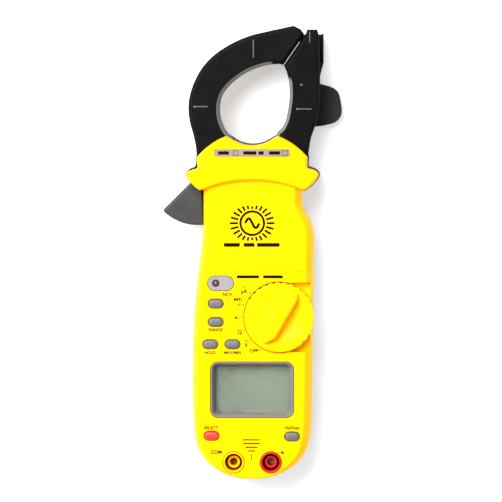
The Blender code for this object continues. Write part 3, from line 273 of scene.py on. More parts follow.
def grown(outline, distance, end_share=1.0):
    """The outline moved outwards by distance, faces that look along Y by end_share of it."""
    count = len(outline)
    spots = [Vector(point) for point in outline]
    if distance == 0:
        return [tuple(spot) for spot in spots]
    result = []
    for index, spot in enumerate(spots):
        before = (spot - spots[index - 1]).normalized()
        after = (spots[(index + 1) % count] - spot).normalized()
        normal = Vector((before.y + after.y, -before.x - after.x)).normalized()
        stretch = 1 / max(0.6, normal.dot(Vector((after.y, -after.x))))
        share = end_share + (1 - end_share) * abs(normal.x)
        result.append(spot + normal * distance * stretch * share)
    for _ in range(count):
        flips = 0
        for index in range(count):
            beside = (index + 1) % count
            if (result[beside] - result[index]).dot(spots[beside] - spots[index]) < 0:
                middle = (result[beside] + result[index]) / 2
                result[index], result[beside] = middle, middle.copy()
                flips += 1
        if not flips:
            break
    return [tuple(spot) for spot in result]


def turned(points, centre, degrees):
    cosine, sine = math.cos(math.radians(degrees)), math.sin(math.radians(degrees))
    return [(centre[0] + (x - centre[0]) * cosine - (y - centre[1]) * sine,
             centre[1] + (x - centre[0]) * sine + (y - centre[1]) * cosine) for x, y in points]


# ---- solids

def added(name, data):
    thing = bpy.data.objects.new(name, data)
    bpy.context.collection.objects.link(thing)
    return thing


def solid(name, points, faces, look):
    mesh = bpy.data.meshes.new(name)
    mesh.from_pydata([Vector(point) * MM for point in points], [], faces)
    work = bmesh.new()
    work.from_mesh(mesh)
    bmesh.ops.remove_doubles(work, verts=work.verts, dist=0.001 * MM)
    bmesh.ops.recalc_face_normals(work, faces=work.faces)
    if work.calc_volume(signed=True) < 0:
        bmesh.ops.reverse_faces(work, faces=work.faces)
    work.to_mesh(mesh)
    work.free()
    mesh.materials.append(look)
    return added(name, mesh)


def loft(name, rings, look=YELLOW):
    """A closed body through rings of equal point counts, capped at both ends."""
    count = len(rings[0])
    points = [point for ring in rings for point in ring]
    faces = [tuple(range(count)), tuple(range(len(points) - count, len(points)))]
    for level in range(len(rings) - 1):
        for index in range(count):
            here, beside = level * count + index, level * count + (index + 1) % count
            faces.append((here, beside, beside + count, here + count))
    return solid(name, points, faces, look)


def stack(name, outline, levels, look=YELLOW, end_share=1.0):
    """A body over one outline: levels are (z, how far the outline is grown there)."""
    return loft(name, [[(x, y, z) for x, y in grown(outline, growth, end_share)] for z, growth in levels], look)


def prism(name, outline, low, high, look=YELLOW):
    return stack(name, outline, ((low, 0.0), (high, 0.0)), look)


def rod(name, centre, radius, low, high, steps=40, look=YELLOW):
    return prism(name, circle(centre, radius, steps), low, high, look)


def turned_body(name, centre, profile, look=YELLOW, steps=48):
    """A round body about a vertical axis: profile is (radius, z) from one end to the other."""
    return loft(name, [[(x, y, z) for x, y in circle(centre, radius, steps)] for radius, z in profile], look)


def swept(name, path, section, look=STEEL):
    """A body along a path of 3D points; the section is (sideways, up) pairs."""
    rings = []
    for index, point in enumerate(path):
        ahead = (Vector(path[min(index + 1, len(path) - 1)]) - Vector(path[max(index - 1, 0)])).normalized()
        side = ahead.cross(Vector((0, 0, 1))).normalized()
        up = side.cross(ahead)
        rings.append([tuple(Vector(point) + side * across + up * rise) for across, rise in section])
    return loft(name, rings, look)


def quarter(steps):
    """Sine and cosine over a quarter turn."""
    turns = [math.radians(90.0 * step / steps) for step in range(steps + 1)]
    return [(math.sin(turn), math.cos(turn)) for turn in turns]


def rounded(low, high, radius, steps=5, foot=0.0):
    """Levels of a body with its upper edge rounded, and its lower edge too if foot is given."""
    levels = [(low, 0.0)]
    if foot:
        levels = [(low + foot * (1 - cosine), -foot * (1 - sine)) for sine, cosine in quarter(steps)]
    return levels + [(high - radius + radius * sine, -radius * (1 - cosine)) for sine, cosine in quarter(steps)]


def mouth(outline, low, face, lip=0.35, steps=4):
    """Cutter for a hole whose mouth in the face is rounded."""
    levels = [(face - lip + lip * sine, lip * (1 - cosine)) for sine, cosine in quarter(steps)]
    return stack("mouth", outline, [(low, 0.0)] + levels + [(face + 4.0, lip)])


def evaluated(thing):
    bpy.context.view_layer.update()
    return bpy.data.meshes.new_from_object(thing.evaluated_get(bpy.context.evaluated_depsgraph_get()))


def combine(target, others, operation):
    for other in others:
        step = target.modifiers.new(operation.lower(), "BOOLEAN")
        step.operation = operation
        step.object = other
    mesh = evaluated(target)
    target.modifiers.clear()
    target.data = mesh
    for other in others:
        bpy.data.objects.remove(other)
    return target


def cut(target, *cutters):
    return combine(target, cutters, "DIFFERENCE")


def join(target, *others):
    return combine(target, others, "UNION")


def merged(name, target, *others):
    """Puts closed shells that don't meet into one named mesh."""
    target.name = target.data.name = name
    work = bmesh.new()
    work.from_mesh(target.data)
    for other in others:
        work.from_mesh(other.data)
    work.to_mesh(target.data)
    work.free()
    for other in others:
        bpy.data.objects.remove(other)
    return target


def placed(thing, body, replaced=(), slot=None, angle=34.0):
    """Finishes a piece: shading, the body it rides on and the CAD nodes it stands for; slot is not used."""
    thing.data.shade_smooth()
    thing.data.set_sharp_from_angle(angle=math.radians(angle))
    step = thing.modifiers.new("weighted normals", "WEIGHTED_NORMAL")
    step.keep_sharp, step.weight = True, 100
    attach(thing, body)
    if replaced:
        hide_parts(*replaced)
    return thing


# ---- outlines of the case

def bottom_corner():
    """From the middle of the bottom end to the right-hand side of the grip."""
    corner = [(25.0, 0.2), (21.0, 0.9), (15.8, 2.6), (9.1, 6.9), (5.0, 11.2), (2.3, 16.5), (0.9, 23.2)]
    return [(0.0, BOTTOM_Y)] + [(BODY_HALF_WIDTH - inset, from_bottom(y)) for inset, y in corner]


def right_side(top):
    wide, waist = BODY_HALF_WIDTH, WAIST_HALF_WIDTH
    return curve(bottom_corner() + [(wide - 0.2, from_bottom(45.0)), (wide + 0.2, from_bottom(85.0))] + from_pivot([
        (wide + 0.6, -36.0), (wide + 0.6, -30.0), (wide - 1.2, -23.9), (waist + 1.6, -18.6), (waist + 0.2, -14.0),
    ])) + [(waist, top)]


def left_side(top):
    wide, waist = BODY_HALF_WIDTH, WAIST_HALF_WIDTH
    flank = from_pivot([(-waist, -27.0), (-waist - 1.0, -38.0), (-waist - 3.0, -54.0)])
    flank += [(-wide + 0.9, from_bottom(85.2)), (-wide, from_bottom(61.2))]
    return [(-waist, top)] + curve(flank + [(-x, y) for x, y in bottom_corner()[::-1]])[:-1]


def grip_outline(top):
    return right_side(top) + left_side(top)


def guard_half(sign):
    half_guard, half_head = GUARD_HALF_WIDTH, HEAD_HALF_WIDTH
    lower = from_pivot([(0.0, -2.7), (8.0, -3.2), (16.0, -4.6), (22.5, -6.6), (25.4, -7.8)])
    nose = from_pivot([
        (WAIST_HALF_WIDTH + 1.4, -7.8), (WAIST_HALF_WIDTH + 2.9, -6.8), (half_guard - 1.9, -3.4),
        (half_guard - 0.4, -1.4), (half_guard, 0.0), (half_guard - 0.6, 1.4), (half_guard - 2.4, 2.6),
        (half_head + 0.2, 3.7), (half_head, 4.4),
    ])
    shoulder = arc((0.0, above(-14.0)), 36.7, 39.4, 69.0, 14)
    points = curve(lower, 3)[:-1] + curve(nose, 3) + shoulder
    return [(sign * x, y) for x, y in points]


def head_outline():
    left = guard_half(-1)
    left.reverse()
    return guard_half(1) + arc((0.0, above(32.5)), 17.3, -53.0, -127.0, 24) + left[:-1]


# ---- outlines of the jaws

SEAM_LOW, SEAM_HIGH, SEAM_GAP = (15.9, above(56.2)), (27.2, above(72.6)), 0.5
FIXED_ROOT_LEFT, FIXED_ROOT_RIGHT, FIXED_ROOT_LOW = 12.4, 25.3, above(5.0)
OPENING_CENTRE = (0.0, above(36.0))


def seam_point(share, side):
    low, high = Vector(SEAM_LOW), Vector(SEAM_HIGH)
    along = (high - low).normalized()
    return tuple(low + (high - low) * share + Vector((along.y, -along.x)) * side * SEAM_GAP / 2)


def moving_outline():
    tip = from_pivot([(21.4, 76.2), (24.5, 74.6), (26.3, 72.4)])
    outer = curve(from_pivot([
        (20.0, 76.1), (8.0, 73.5), (-2.0, 71.0), (-12.0, 66.5), (-20.0, 61.0),
        (-26.0, 54.5), (-30.2, 46.5), (-32.2, 40.0), (-32.8, 34.0), (-32.0, 27.0),
        (-30.1, 20.0), (-28.8, 13.0), (-28.8, 6.0),
    ]))
    root = from_pivot([
        (PIVOT_X - HUB_RADIUS + 1.2, 1.0), (PIVOT_X - 1.5, -3.3), (-23.0, -2.6),
        (-16.0, 2.0), (-11.6, 7.0), (-10.2, 12.0),
    ])
    inner = curve(from_pivot([
        (-10.0, 18.5), (-12.0, 20.5), (-14.3, 23.5), (-16.3, 28.5), (-16.9, 33.5),
        (-15.8, 40.0), (-13.0, 44.5), (-9.0, 48.3), (-4.0, 51.8), (2.0, 54.6),
        (8.0, 56.2), (13.5, 56.8),
    ]))
    return tip[::-1] + outer + root + inner + [seam_point(0.0, -1), seam_point(0.93, -1)]


def fixed_outline():
    root = [(FIXED_ROOT_LEFT, FIXED_ROOT_LOW), (FIXED_ROOT_RIGHT, FIXED_ROOT_LOW), (FIXED_ROOT_RIGHT, above(9.4))]
    outer = curve(from_pivot([
        (28.6, 10.4), (30.0, 19.0), (32.0, 24.7), (33.4, 29.5), (34.3, 36.5),
        (34.6, 46.0), (34.5, 54.0), (34.2, 64.0), (33.8, 72.0), (33.1, 74.4),
    ]))
    inner = curve(from_pivot([
        (17.5, 53.0), (18.8, 47.0), (19.0, 40.0), (18.3, 34.0), (17.0, 28.0),
        (15.0, 23.9), (12.6, 21.6), (12.0, 18.0),
    ]))
    return root + outer + [(27.9, above(74.4)), seam_point(1.0, 1), seam_point(0.0, 1)] + inner


def trigger_corner(beyond=0.0):
    x, y = arc(PIVOT, HUB_RADIUS - 0.8, TRIGGER_ANGLES[1], TRIGGER_ANGLES[1], 1)[0]
    return (x + 2.0 + beyond, y)


def trigger_outline():
    start, end = TRIGGER_ANGLES
    tip = [arc(PIVOT, TRIGGER_RADIUS - 0.6, start, start, 1)[0],
           arc(PIVOT, TRIGGER_RADIUS, start + 2.4, start + 2.4, 1)[0]]
    rim = arc(PIVOT, TRIGGER_RADIUS, start + 6, end, 24)
    inner = arc(PIVOT, HUB_RADIUS - 0.8, end, start, 6)
    return tip + rim + [trigger_corner()] + inner[1:]


MOVING_CENTRE = from_pivot([
    (-21.5, 14.0), (-23.0, 24.0), (-24.8, 34.0), (-22.4, 45.0), (-15.5, 54.5),
    (-6.0, 60.8), (5.0, 64.8), (14.6, 66.2),
])
FIXED_CENTRE = from_pivot([
    (25.6, 63.0), (26.9, 54.0), (26.8, 42.0), (25.6, 32.0), (22.8, 22.0),
    (20.6, 12.0),
])


def core_room(points):
    half_width, half_depth = CORE_WIDTH / 2 + COIL_BUILD + 0.4, CORE_DEPTH / 2 + COIL_BUILD + 0.4
    section = [(-half_width, -half_depth), (half_width, -half_depth), (half_width, half_depth),
               (-half_width, half_depth)]
    return swept("core room", [(x, y, JAW_SPLIT_Z) for x, y in curve(points, 3)], section)


# ---- case

def lever_cutters():
    passage = arc(PIVOT, HUB_RADIUS + 0.5, 160.0, 250.0, 10) + from_pivot([
        (-22.0, -4.2), (-14.4, 0.6), (-9.4, 7.0), (-9.4, 34.0),
        (-39.6, 34.0), (-39.6, 20.0), (-34.8, 11.0), (-32.3, 4.6),
    ])
    start, end = TRIGGER_ANGLES
    rim = arc(PIVOT, TRIGGER_RADIUS + 0.6, start - 1.8, end + LEVER_SWING + 3.0, 24)
    corner = turned([trigger_corner(1.2)], PIVOT, LEVER_SWING)
    half = TRIGGER_DEPTH / 2
    return [prism("passage", passage, JAW_LOW - FIT, JAW_HIGH + 0.4),
            prism("trigger room", [(PIVOT_X, above(0.8))] + rim + corner, JAW_SPLIT_Z - half - 0.5,
                  JAW_SPLIT_Z + half + 0.5)]


def fixed_jaw_seat():
    left, right, low = FIXED_ROOT_LEFT - 0.4, FIXED_ROOT_RIGHT + 0.4, FIXED_ROOT_LOW - 0.4
    outline = [
        (left, low), (right, low), (right, above(9.0)), (HEAD_HALF_WIDTH + 3, above(9.0)),
        (HEAD_HALF_WIDTH + 3, above(34.0)), (left, above(34.0)),
    ]
    return prism("jaw seat", outline, JAW_LOW - FIT, JAW_HIGH + 0.4)


def head_room(low, high):
    room = prism("head room", rectangle((1.3, above(2.4)), 17.0, 19.8, 2.0), low, min(high, CEILING))
    if high > CEILING:
        join(room, prism("guard room", rectangle((1.3, above(6.0)), 16.0, 11.0, 2.0), CEILING - 2.0, high))
    return cut(room, rod("post", SCREWS[4], 3.4, low - 1, high + 1))


def cover_outline(growth, corner):
    return rectangle((0.0, CELL_Y), 2 * (BAY_HALF_WIDTH + COVER_SIDE + growth),
                     2 * (BAY_HALF_LENGTH + COVER_END + growth), corner)


def screw_posts(low, high):
    return [rod("post", place, 3.2, low, high) for place in SCREWS[:4]]


SHOULDER = [(REAR_DEPTH - 6.0, 0.0), (REAR_DEPTH + 3.0, -0.05), (REAR_DEPTH + 7.5, -0.4), (FACE_Z - 4.4, -1.4),
            (FACE_Z - 1.6, -2.7), (FACE_Z - 0.35, -3.95)]


def edge_of_grip(side, y):
    """How far out the grip's edge is at a height, on the right (1) or left (-1)."""
    line = right_side(GRIP_TOP) if side > 0 else left_side(GRIP_TOP)
    return min(line, key=lambda point: abs(point[1] - y))[0]


def grip_grooves():
    """Finger grooves across both sides of the grip, which follow its rounded shoulder."""
    shells = []
    for row in range(GROOVE_ROWS):
        y = from_bottom(23.4 + GROOVE_PITCH * row)
        for side in (1, -1):
            edge = edge_of_grip(side, y)
            rings = []
            for z, inset in [(REAR_DEPTH - 1.5, 2.2)] + [(z, growth) for z, growth in curve(SHOULDER, 2)[3:]]:
                shift = -2.2 if inset > 0 else inset * 0.92
                centre = (edge + side * (1.05 + shift + (4.4 if inset > 0 else 0.0)), y)
                rings.append([(*spot, z) for spot in circle(centre, 1.5, 14)])
            shells.append(loft("groove", rings))
    return merged("grooves", *shells)


def knob_side_recess(growth, low, high):
    """Room beside the knob where a finger reaches its rim."""
    left, right, half = KNOB_X + 6.0, 45.0, KNOB_RADIUS - 0.1
    outline = [(left, KNOB_Y - half), (right, KNOB_Y - half), (right, KNOB_Y + half), (left, KNOB_Y + half)]
    return prism("side recess", grown(outline, growth), low, high)


def key_outline(place, extra=0.0):
    return pill(place, BUTTON_LENGTH + extra, BUTTON_WIDTH + extra)


def window_outline(extra=0.0):
    return pill(WINDOW_PLACE, WINDOW_LENGTH + extra, WINDOW_WIDTH + extra)


def front_shell():
    shoulder = curve(SHOULDER, 3) + [(FACE_Z - 0.08, -4.35), (FACE_Z, -4.75)]
    case = stack("case_front", grip_outline(GRIP_TOP), shoulder, YELLOW, END_SHARE)
    head = stack("head", head_outline(), [
        (REAR_DEPTH - 5.0, 0.0), (REAR_DEPTH + 8.0, -0.1), (HEAD_Z - 3.0, -0.2), (HEAD_Z - 1.8, -0.35),
        (HEAD_Z - 1.0, -0.6), (HEAD_Z - 0.4, -0.95), (HEAD_Z - 0.1, -1.35), (HEAD_Z, -1.8),
    ])
    join(case, head)
    cut(case, prism("rear half", rectangle((0, 0), 200, 400), -5.0, REAR_DEPTH + FIT / 2))
    cut(case, grip_grooves())

    room = stack("room", grown(grip_outline(ROOM_TOP), -WALL), (
        (REAR_DEPTH - 8.0, 0.0), (REAR_DEPTH + 7.5, -0.4), (CEILING - 3.0, -1.6), (CEILING, -3.6),
    ), end_share=END_SHARE)
    floor = CEILING - 2.1
    cut(room, rod("cup", KNOB, KNOB_RADIUS + 1.9, CEILING - 4.2, FACE_Z + 5))
    cut(room, knob_side_recess(1.9, CEILING - 4.2, FACE_Z + 5))
    cut(room, *screw_posts(0.0, FACE_Z))
    cut(case, room, head_room(0.0, HEAD_Z - WALL))
    cut(case, *lever_cutters(), fixed_jaw_seat())
    cut(case, rod("pin hole", PIVOT, PIN_RADIUS + 0.25, JAW_HIGH - 1, HEAD_Z - 3.0))

    cut(case, mouth(circle(KNOB, KNOB_RADIUS + 0.4, 96), floor, FACE_Z, 0.25),
        rod("shaft hole", KNOB, KNOB_SHAFT_RADIUS + SLIDE, CEILING - 6, FACE_Z))
    cut(case, knob_side_recess(0.0, floor + 0.02, FACE_Z + 5))
    low, roof, rim = CEILING - 8, CEILING + 0.1, 2 * FLANGE + 2 * SLIDE
    holes = [mouth(key_outline(place, 0.5), CEILING - 3, FACE_Z, 0.5) for place in BUTTONS.values()]
    holes += [prism("flange room", key_outline(place, rim), low, roof) for place in BUTTONS.values()]
    holes.append(mouth(window_outline(2 * FIT), CEILING - 3, FACE_Z, 0.2))
    holes.append(prism("flange room", window_outline(rim), low, roof))
    holes.append(prism("flange room", rectangle((0.0, LCD_Y), LCD_WIDTH + 4.0, LCD_HEIGHT + 4.0, 4.8), low, roof))
    holes.append(mouth(rectangle((0.0, LCD_Y), LCD_WIDTH, LCD_HEIGHT, 4.2, 12), CEILING - 3, FACE_Z, 0.3))
    for x in (-JACK_X, JACK_X):
        holes.append(mouth(circle((x, JACK_Y), JACK_RADIUS + FIT, 64), CEILING - 20, FACE_Z, 0.2))
    holes.append(prism("label seat", rectangle((0.0, STRIP_Y), 38.9, 4.2, 0.6, 4), HEAD_Z - 0.5, HEAD_Z + 2))
    holes += [rod("pilot", place, SCREW_RADIUS + FIT, 8.0, FACE_Z - WALL - 1.0, 16) for place in SCREWS]
    for hole in holes:
        cut(case, hole)
    groove = loft("groove", [[(x, from_bottom(106.9) + offset, z) for offset, z in (
        (-0.45, FACE_Z + 2), (-0.4, FACE_Z), (-0.15, FACE_Z - 0.4), (0.15, FACE_Z - 0.4), (0.4, FACE_Z),
        (0.45, FACE_Z + 2))] for x in (-20.6, 60.6)])
    cut(case, groove)
    return placed(case, "case", ["front_case"], "yellow_plastic")


def rear_shell():
    profile = curve([(0.0, -3.6), (0.25, -2.7), (1.2, -1.5), (4.0, -0.4), (9.0, -0.05), (REAR_DEPTH + 6.0, 0.0)], 3)
    case = stack("case_rear", grip_outline(GRIP_TOP), profile, BLACK_REAR, END_SHARE)
    head_profile = curve([(0.0, -1.6), (0.2, -1.0), (0.8, -0.4), (2.0, 0.0), (REAR_DEPTH + 5.0, 0.0)], 3)
    join(case, stack("head", grown(head_outline(), 0.5), head_profile, BLACK_REAR))
    cut(case, prism("front half", rectangle((0, 0), 200, 400), REAR_DEPTH - FIT / 2, REAR_DEPTH + 20.0))
    room = stack("room", grown(grip_outline(ROOM_TOP), -WALL), (
        (WALL, -2.0), (WALL + 2.5, -0.4), (REAR_DEPTH + 8.0, 0.0),
    ), end_share=END_SHARE)
    cut(room, prism("bay", cover_outline(1.3, 0.0), -1.0, BAY_TOP + 1.4), *screw_posts(-1.0, REAR_DEPTH + 9.0))
    cut(case, room, head_room(WALL, REAR_DEPTH + 9.0))
    cut(case, *lever_cutters(), fixed_jaw_seat())
    pocket = [PIVOT] + arc(PIVOT, 9.4, -40.0, 84.0, 12)
    cut(case, rod("spring pocket", PIVOT, 4.0, 2.3, JAW_LOW + 1, 24),
        prism("leg room", pocket, 2.3, JAW_LOW + 1))
    cut(case, prism("cells", rectangle((0.0, CELL_Y), 2 * BAY_HALF_WIDTH, 2 * BAY_HALF_LENGTH), -1.0, BAY_TOP),
        prism("cover seat", cover_outline(0.0, 2.0), -1.0, COVER_DEPTH + FIT),
        rod("screw hole", (0.0, COVER_SCREW_Y), SCREW_RADIUS + 0.25, -1.0, 7.0, 16))
    cuts = [prism("label seat", rectangle((0.0, PLATE_Y), 28.6, 16.6, 1.5, 6), -1.0, 0.7)]
    for place in SCREWS:
        cuts.append(rod("head hole", place, SCREW_HEAD + 0.4, -1.0, 3.6, 24))
        cuts.append(rod("screw hole", place, SCREW_RADIUS + 0.3, 2.0, REAR_DEPTH + 4, 16))
    for cutter in cuts:
        cut(case, cutter)
    return placed(case, "case", ["rear_case"], "rear_plastic")


def screw(name, node_name, place, head_low, head_high, tip, radius=SCREW_RADIUS, head=SCREW_HEAD):
    """A cross-recessed pan-head screw with its thread."""
    profile = [(head - 0.7, head_low), (head - 0.25, head_low + 0.12), (head, head_low + 0.45), (head, head_high),
               (radius, head_high)]
    z = head_high + THREAD_PITCH
    while z < tip - 1.4:
        profile += [(radius, z), (radius - 0.2, z + 0.2), (radius, z + 0.4)]
        z += THREAD_PITCH
    profile += [(radius * 0.3, tip)]
    body = turned_body(name, place, profile, STEEL, 24)
    for flip in (0, 1):
        slot = rectangle(place, 2.4 if flip else 0.6, 0.6 if flip else 2.4)
        cut(body, stack("slot", slot, ((head_low - 1, 0.0), (head_low + 0.1, 0.0), (head_low + 0.8, -0.15))))
    return placed(body, "case", [node_name], "steel", 50.0)


def case_details():
    for number, place in enumerate(SCREWS, 1):
        screw(f"shell_screw_{number}", f"case_screw_{number}", place, 1.2, 3.3, REAR_DEPTH + 10.0)
    screw("cover_screw", "battery_screw", (0.0, COVER_SCREW_Y), 0.05, 0.85, 6.0, SCREW_RADIUS - 0.1, SCREW_HEAD - 0.1)
    lid = stack("battery_lid", cover_outline(-FIT, 1.7), rounded(0.0, COVER_DEPTH, 0.1, 2, 0.35), BLACK_REAR)
    place = (0.0, COVER_SCREW_Y)
    cut(lid, rod("hole", place, SCREW_RADIUS + 0.3, -1.0, 4.0, 24),
        rod("sink", place, SCREW_HEAD + 0.3, -1.0, 1.1, 32))
    for row in range(5):
        rib = rectangle((0.0, CELL_Y - BAY_HALF_LENGTH + 6.0 + 2.0 * row), 12.0, 0.9, 0.44, 4)
        cut(lid, prism("rib", rib, -1.0, 0.5))
    placed(lid, "case", ["battery_cover"], "rear_plastic")

    plate = stack("back_plate", rectangle((0.0, PLATE_Y), 28.0, 16.0, 1.3, 6), rounded(0.1, 0.4, 0.05, 2),
                  REAR_LABEL)
    placed(plate, "case", ["rear_label"], "label_film")
    rules = [prism("rule", rectangle((0.0, above(-20.0) - 2.6 * row), (22.0, 22.0, 16.0, 11.0)[row], 0.35), 0.06, 0.2)
             for row in range(4)]
    rules[0].data.materials[0] = PALE_PRINT
    placed(merged("back_plate_rules", *rules), "case")
    strip = stack("head_strip", rectangle((0.0, STRIP_Y), 38.3, 3.6, 0.4, 4),
                  rounded(HEAD_Z - 0.25, STRIP_TOP, 0.06, 2), LABEL)
    placed(strip, "case", ["head_label"], "label_film")


def painted(thing, look, chosen):
    """Gives the chosen faces a finish of their own."""
    thing.data.materials.append(look)
    for face in thing.data.polygons:
        if chosen(face):
            face.material_index = len(thing.data.materials) - 1


# ---- jaws

def half_levels(front, depth, chamfer, soft=0.35):
    """Levels of one moulded half: a fine joint line at the split, a chamfered rim with softened corners."""
    gap, half = FIT / 2, depth / 2
    if chamfer:
        foot = half - chamfer
        levels = [(gap, -0.18), (gap + 0.2, 0.0), (foot - soft, 0.0), (foot - soft * 0.4, -0.06),
                  (foot + soft * 0.3, -0.3), (half - soft * 0.45, -chamfer + 0.1), (half - 0.04, -chamfer - 0.15),
                  (half, -chamfer - 0.45)]
    else:
        levels = [(gap, 0.0), (half, 0.0)]
    sign = 1 if front else -1
    return [(JAW_SPLIT_Z + sign * height, growth) for height, growth in levels]


def inner_chamfer(face):
    """Whether a face belongs to the chamfer towards the opening between the jaws, where a painted reflection goes."""
    flat = Vector((face.normal.x, face.normal.y, 0.0))
    inwards = (Vector((*OPENING_CENTRE, 0.0)) * MM - face.center) * Vector((1, 1, 0))
    if not 0.12 < abs(face.normal.z) < 0.96 or flat.length <= 0.1:
        return False
    return flat.normalized().dot(inwards.normalized()) > 0.45 and inwards.length < 23.5 * MM


def lever_half(name, node_name, front):
    half = stack(name, moving_outline(), half_levels(front, JAW_DEPTH, 1.4), BLACK)
    join(half, stack("hub", circle(PIVOT, HUB_RADIUS), half_levels(front, JAW_DEPTH, 0.0)))
    join(half, stack("trigger", trigger_outline(), half_levels(front, TRIGGER_DEPTH, 0.9, 0.3), BLACK))
    if not front:
        peg = arc(PIVOT, 7.0, 52.0, 52.0, 1)[0]
        join(half, rod("peg", peg, 1.0, JAW_LOW - 1.6, JAW_LOW + 2.0, 16))
    cut(half, core_room(MOVING_CENTRE), rod("pin hole", PIVOT, PIN_RADIUS + 0.25, JAW_LOW - 4, JAW_HIGH + 4))
    # painted reflection: the inner chamfer faces get a lighter grey
    painted(half, PAINTED_CHAMFER_SHEEN, inner_chamfer)
    painted(half, DARK, lambda face: face.center.y / MM < above(-4.5))
    return placed(half, "lever", [node_name], "black_plastic")


def fixed_half(name, node_name, front):
    half = stack(name, fixed_outline(), half_levels(front, JAW_DEPTH, 1.4), BLACK)
    cut(half, core_room(FIXED_CENTRE))
    # painted reflection: the inner chamfer faces get a lighter grey
    painted(half, PAINTED_CHAMFER_SHEEN, inner_chamfer)
    return placed(half, "case", [node_name], "black_plastic")


def ridge(name, start, end, width=0.5):
    """A thin raised line on the jaws' front face that shows where the cable should lie."""
    start, end = [Vector(spot) for spot in from_pivot((start, end))]
    along = (end - start).normalized()
    angle = math.degrees(math.atan2(along.y, along.x))
    middle = (start + end) / 2
    outline = turned(pill(tuple(middle), (end - start).length + width, width, 6), tuple(middle), angle)
    return stack(name, outline, rounded(JAW_HIGH - 0.1, JAW_HIGH + 0.14, 0.1, 3), MARK)


def jaws():
    lever_half("moving_jaw_front", "lever_front", True)
    lever_half("moving_jaw_rear", "lever_rear", False)
    fixed_half("fixed_jaw_front_shell", "fixed_jaw_front", True)
    fixed_half("fixed_jaw_rear_shell", "fixed_jaw_rear", False)
    left = ridge("moving_jaw_marks", (-29.6, 35.0), (-23.0, 35.0))
    top = ridge("top", (0.5, 60.2), (0.5, 69.0))
    # spots at the ends of the two cross lines, and one by itself above the right-hand one
    spots = [rod("spot", place, 0.55, JAW_HIGH - 0.1, JAW_HIGH + 0.2, 16, MARK)
             for place in from_pivot([(-29.6, 35.0), (25.0, 46.2), (22.9, 33.8)])]
    placed(merged("moving_jaw_marks", left, top, spots[0]), "lever", (), "black_plastic")
    right = ridge("fixed_jaw_marks", (22.9, 33.8), (30.0, 33.8))
    tip_line = ridge("tip", (29.3, 67.6), (29.3, 73.0), 0.4)
    placed(merged("fixed_jaw_marks", right, tip_line, *spots[1:]), "case", (), "black_plastic")
    holder()


def holder():
    """Clip plate behind the fixed jaw that parks a test probe."""
    tab = curve(from_pivot([
        (31.0, 24.3), (36.5, 25.0), (42.0, 26.5), (44.6, 28.6), (45.8, 31.5),
        (45.2, 38.0), (43.8, 42.5), (40.7, 44.8), (33.6, 46.8),
    ]))
    outline = from_pivot([(24.0, 24.3)]) + tab + from_pivot([(36.4, 57.0), (36.4, 72.0), (24.0, 72.0)])
    high = JAW_LOW - FIT
    plate = stack("probe_clip", outline, rounded(high - 4.4, high, 0.5, 4, 0.9), TAB)
    lip = curve(from_pivot([(35.3, 57.4), (35.9, 57.0), (36.5, 57.4)]), 4)
    lip += curve(from_pivot([(36.5, 72.0), (35.9, 72.4), (35.3, 72.0)]), 4)
    join(plate, stack("lip", lip, rounded(high - 2.0, high + 7.5, 0.5, 4)))
    place = (28.6, above(44.0))
    cut(plate, rod("hole", place, SCREW_RADIUS + FIT, 0.0, 12.0, 16),
        rod("sink", place, SCREW_HEAD + FIT, 0.0, high - 2.4, 24))
    placed(plate, "case", ["probe_holder"], "dark_plastic")
    screw("clip_screw", "holder_screw", place, high - 4.0, high - 2.7, JAW_LOW - 0.3)


# ---- display

def display():
    centre = (0.0, LCD_Y)
    glass_width, glass_height = LCD_WIDTH - 2 * LCD_BORDER, LCD_HEIGHT - 2 * LCD_BORDER
    top = FACE_Z - LCD_RECESS
    bezel = prism("display_bezel", rectangle(centre, LCD_WIDTH + 3.0, LCD_HEIGHT + 3.0, 4.4, 12), top - 1.6,
                  CEILING - FIT, BEZEL)
    join(bezel, stack("rim", rectangle(centre, LCD_WIDTH - 2 * FIT, LCD_HEIGHT - 2 * FIT, 4.0, 12),
                      rounded(CEILING - 1, FACE_Z - 0.4, 0.25, 3), BEZEL))
    cut(bezel, stack("flare", rectangle(centre, glass_width, glass_height, 2.2, 12), (
        (top - 3.0, 0.0), (top - 0.2, 0.0), (top, 0.05), (FACE_Z - 0.9, LCD_BORDER - 1.15),
        (FACE_Z - 0.5, LCD_BORDER - 0.95), (FACE_Z, LCD_BORDER - 0.6),
    ), BEZEL))
    placed(bezel, "case", ["lcd_frame"], "bezel_plastic")


# ---- selector

def knob_rim(inset, z):
    """Round outline with finger notches on the side that the thumb reaches, at one height."""
    points = []
    count = KNOB_NOTCHES * POINTS_PER_NOTCH
    for step in range(count):
        degrees = 360.0 * step / count
        share = (step % POINTS_PER_NOTCH) / POINTS_PER_NOTCH
        depth = 0.0
        if (degrees + 55.0) % 360.0 < 205.0:
            depth = NOTCH_DEPTH * max(0.0, math.sin(2 * math.pi * share)) ** 0.5
        turn = math.radians(degrees)
        radius = KNOB_RADIUS - depth - inset
        points.append((KNOB_X + radius * math.cos(turn), KNOB_Y + radius * math.sin(turn), z))
    return points


def knob_scoop(side):
    """Finger scoop beside the bar: straight along the bar, round along the rim."""
    inner, outer, depth = (-2.0, 14.2, 3.1) if side > 0 else (5.4, 13.0, 0.9)
    slope = 1.9 if side > 0 else 1.0
    reach = math.degrees(math.acos(inner / outer))
    line = arc((0.0, 0.0), outer, 90.0 - reach + 1.5, 90.0 + reach - 1.5, 28)
    outline = [(KNOB_X + x, KNOB_Y + side * y) for x, y in line]
    if side < 0:
        outline.reverse()
    outline = turned(outline, KNOB, KNOB_POINTS)
    levels = [(KNOB_TOP - depth * share, inset * slope) for share, inset in (
        (1.0, -3.8), (0.97, -3.2), (0.84, -2.4), (0.58, -1.5), (0.26, -0.6), (0.06, -0.1), (0.0, 0.1), (-0.2, 0.15))]
    return stack("scoop", outline, levels, YELLOW_KNOB)


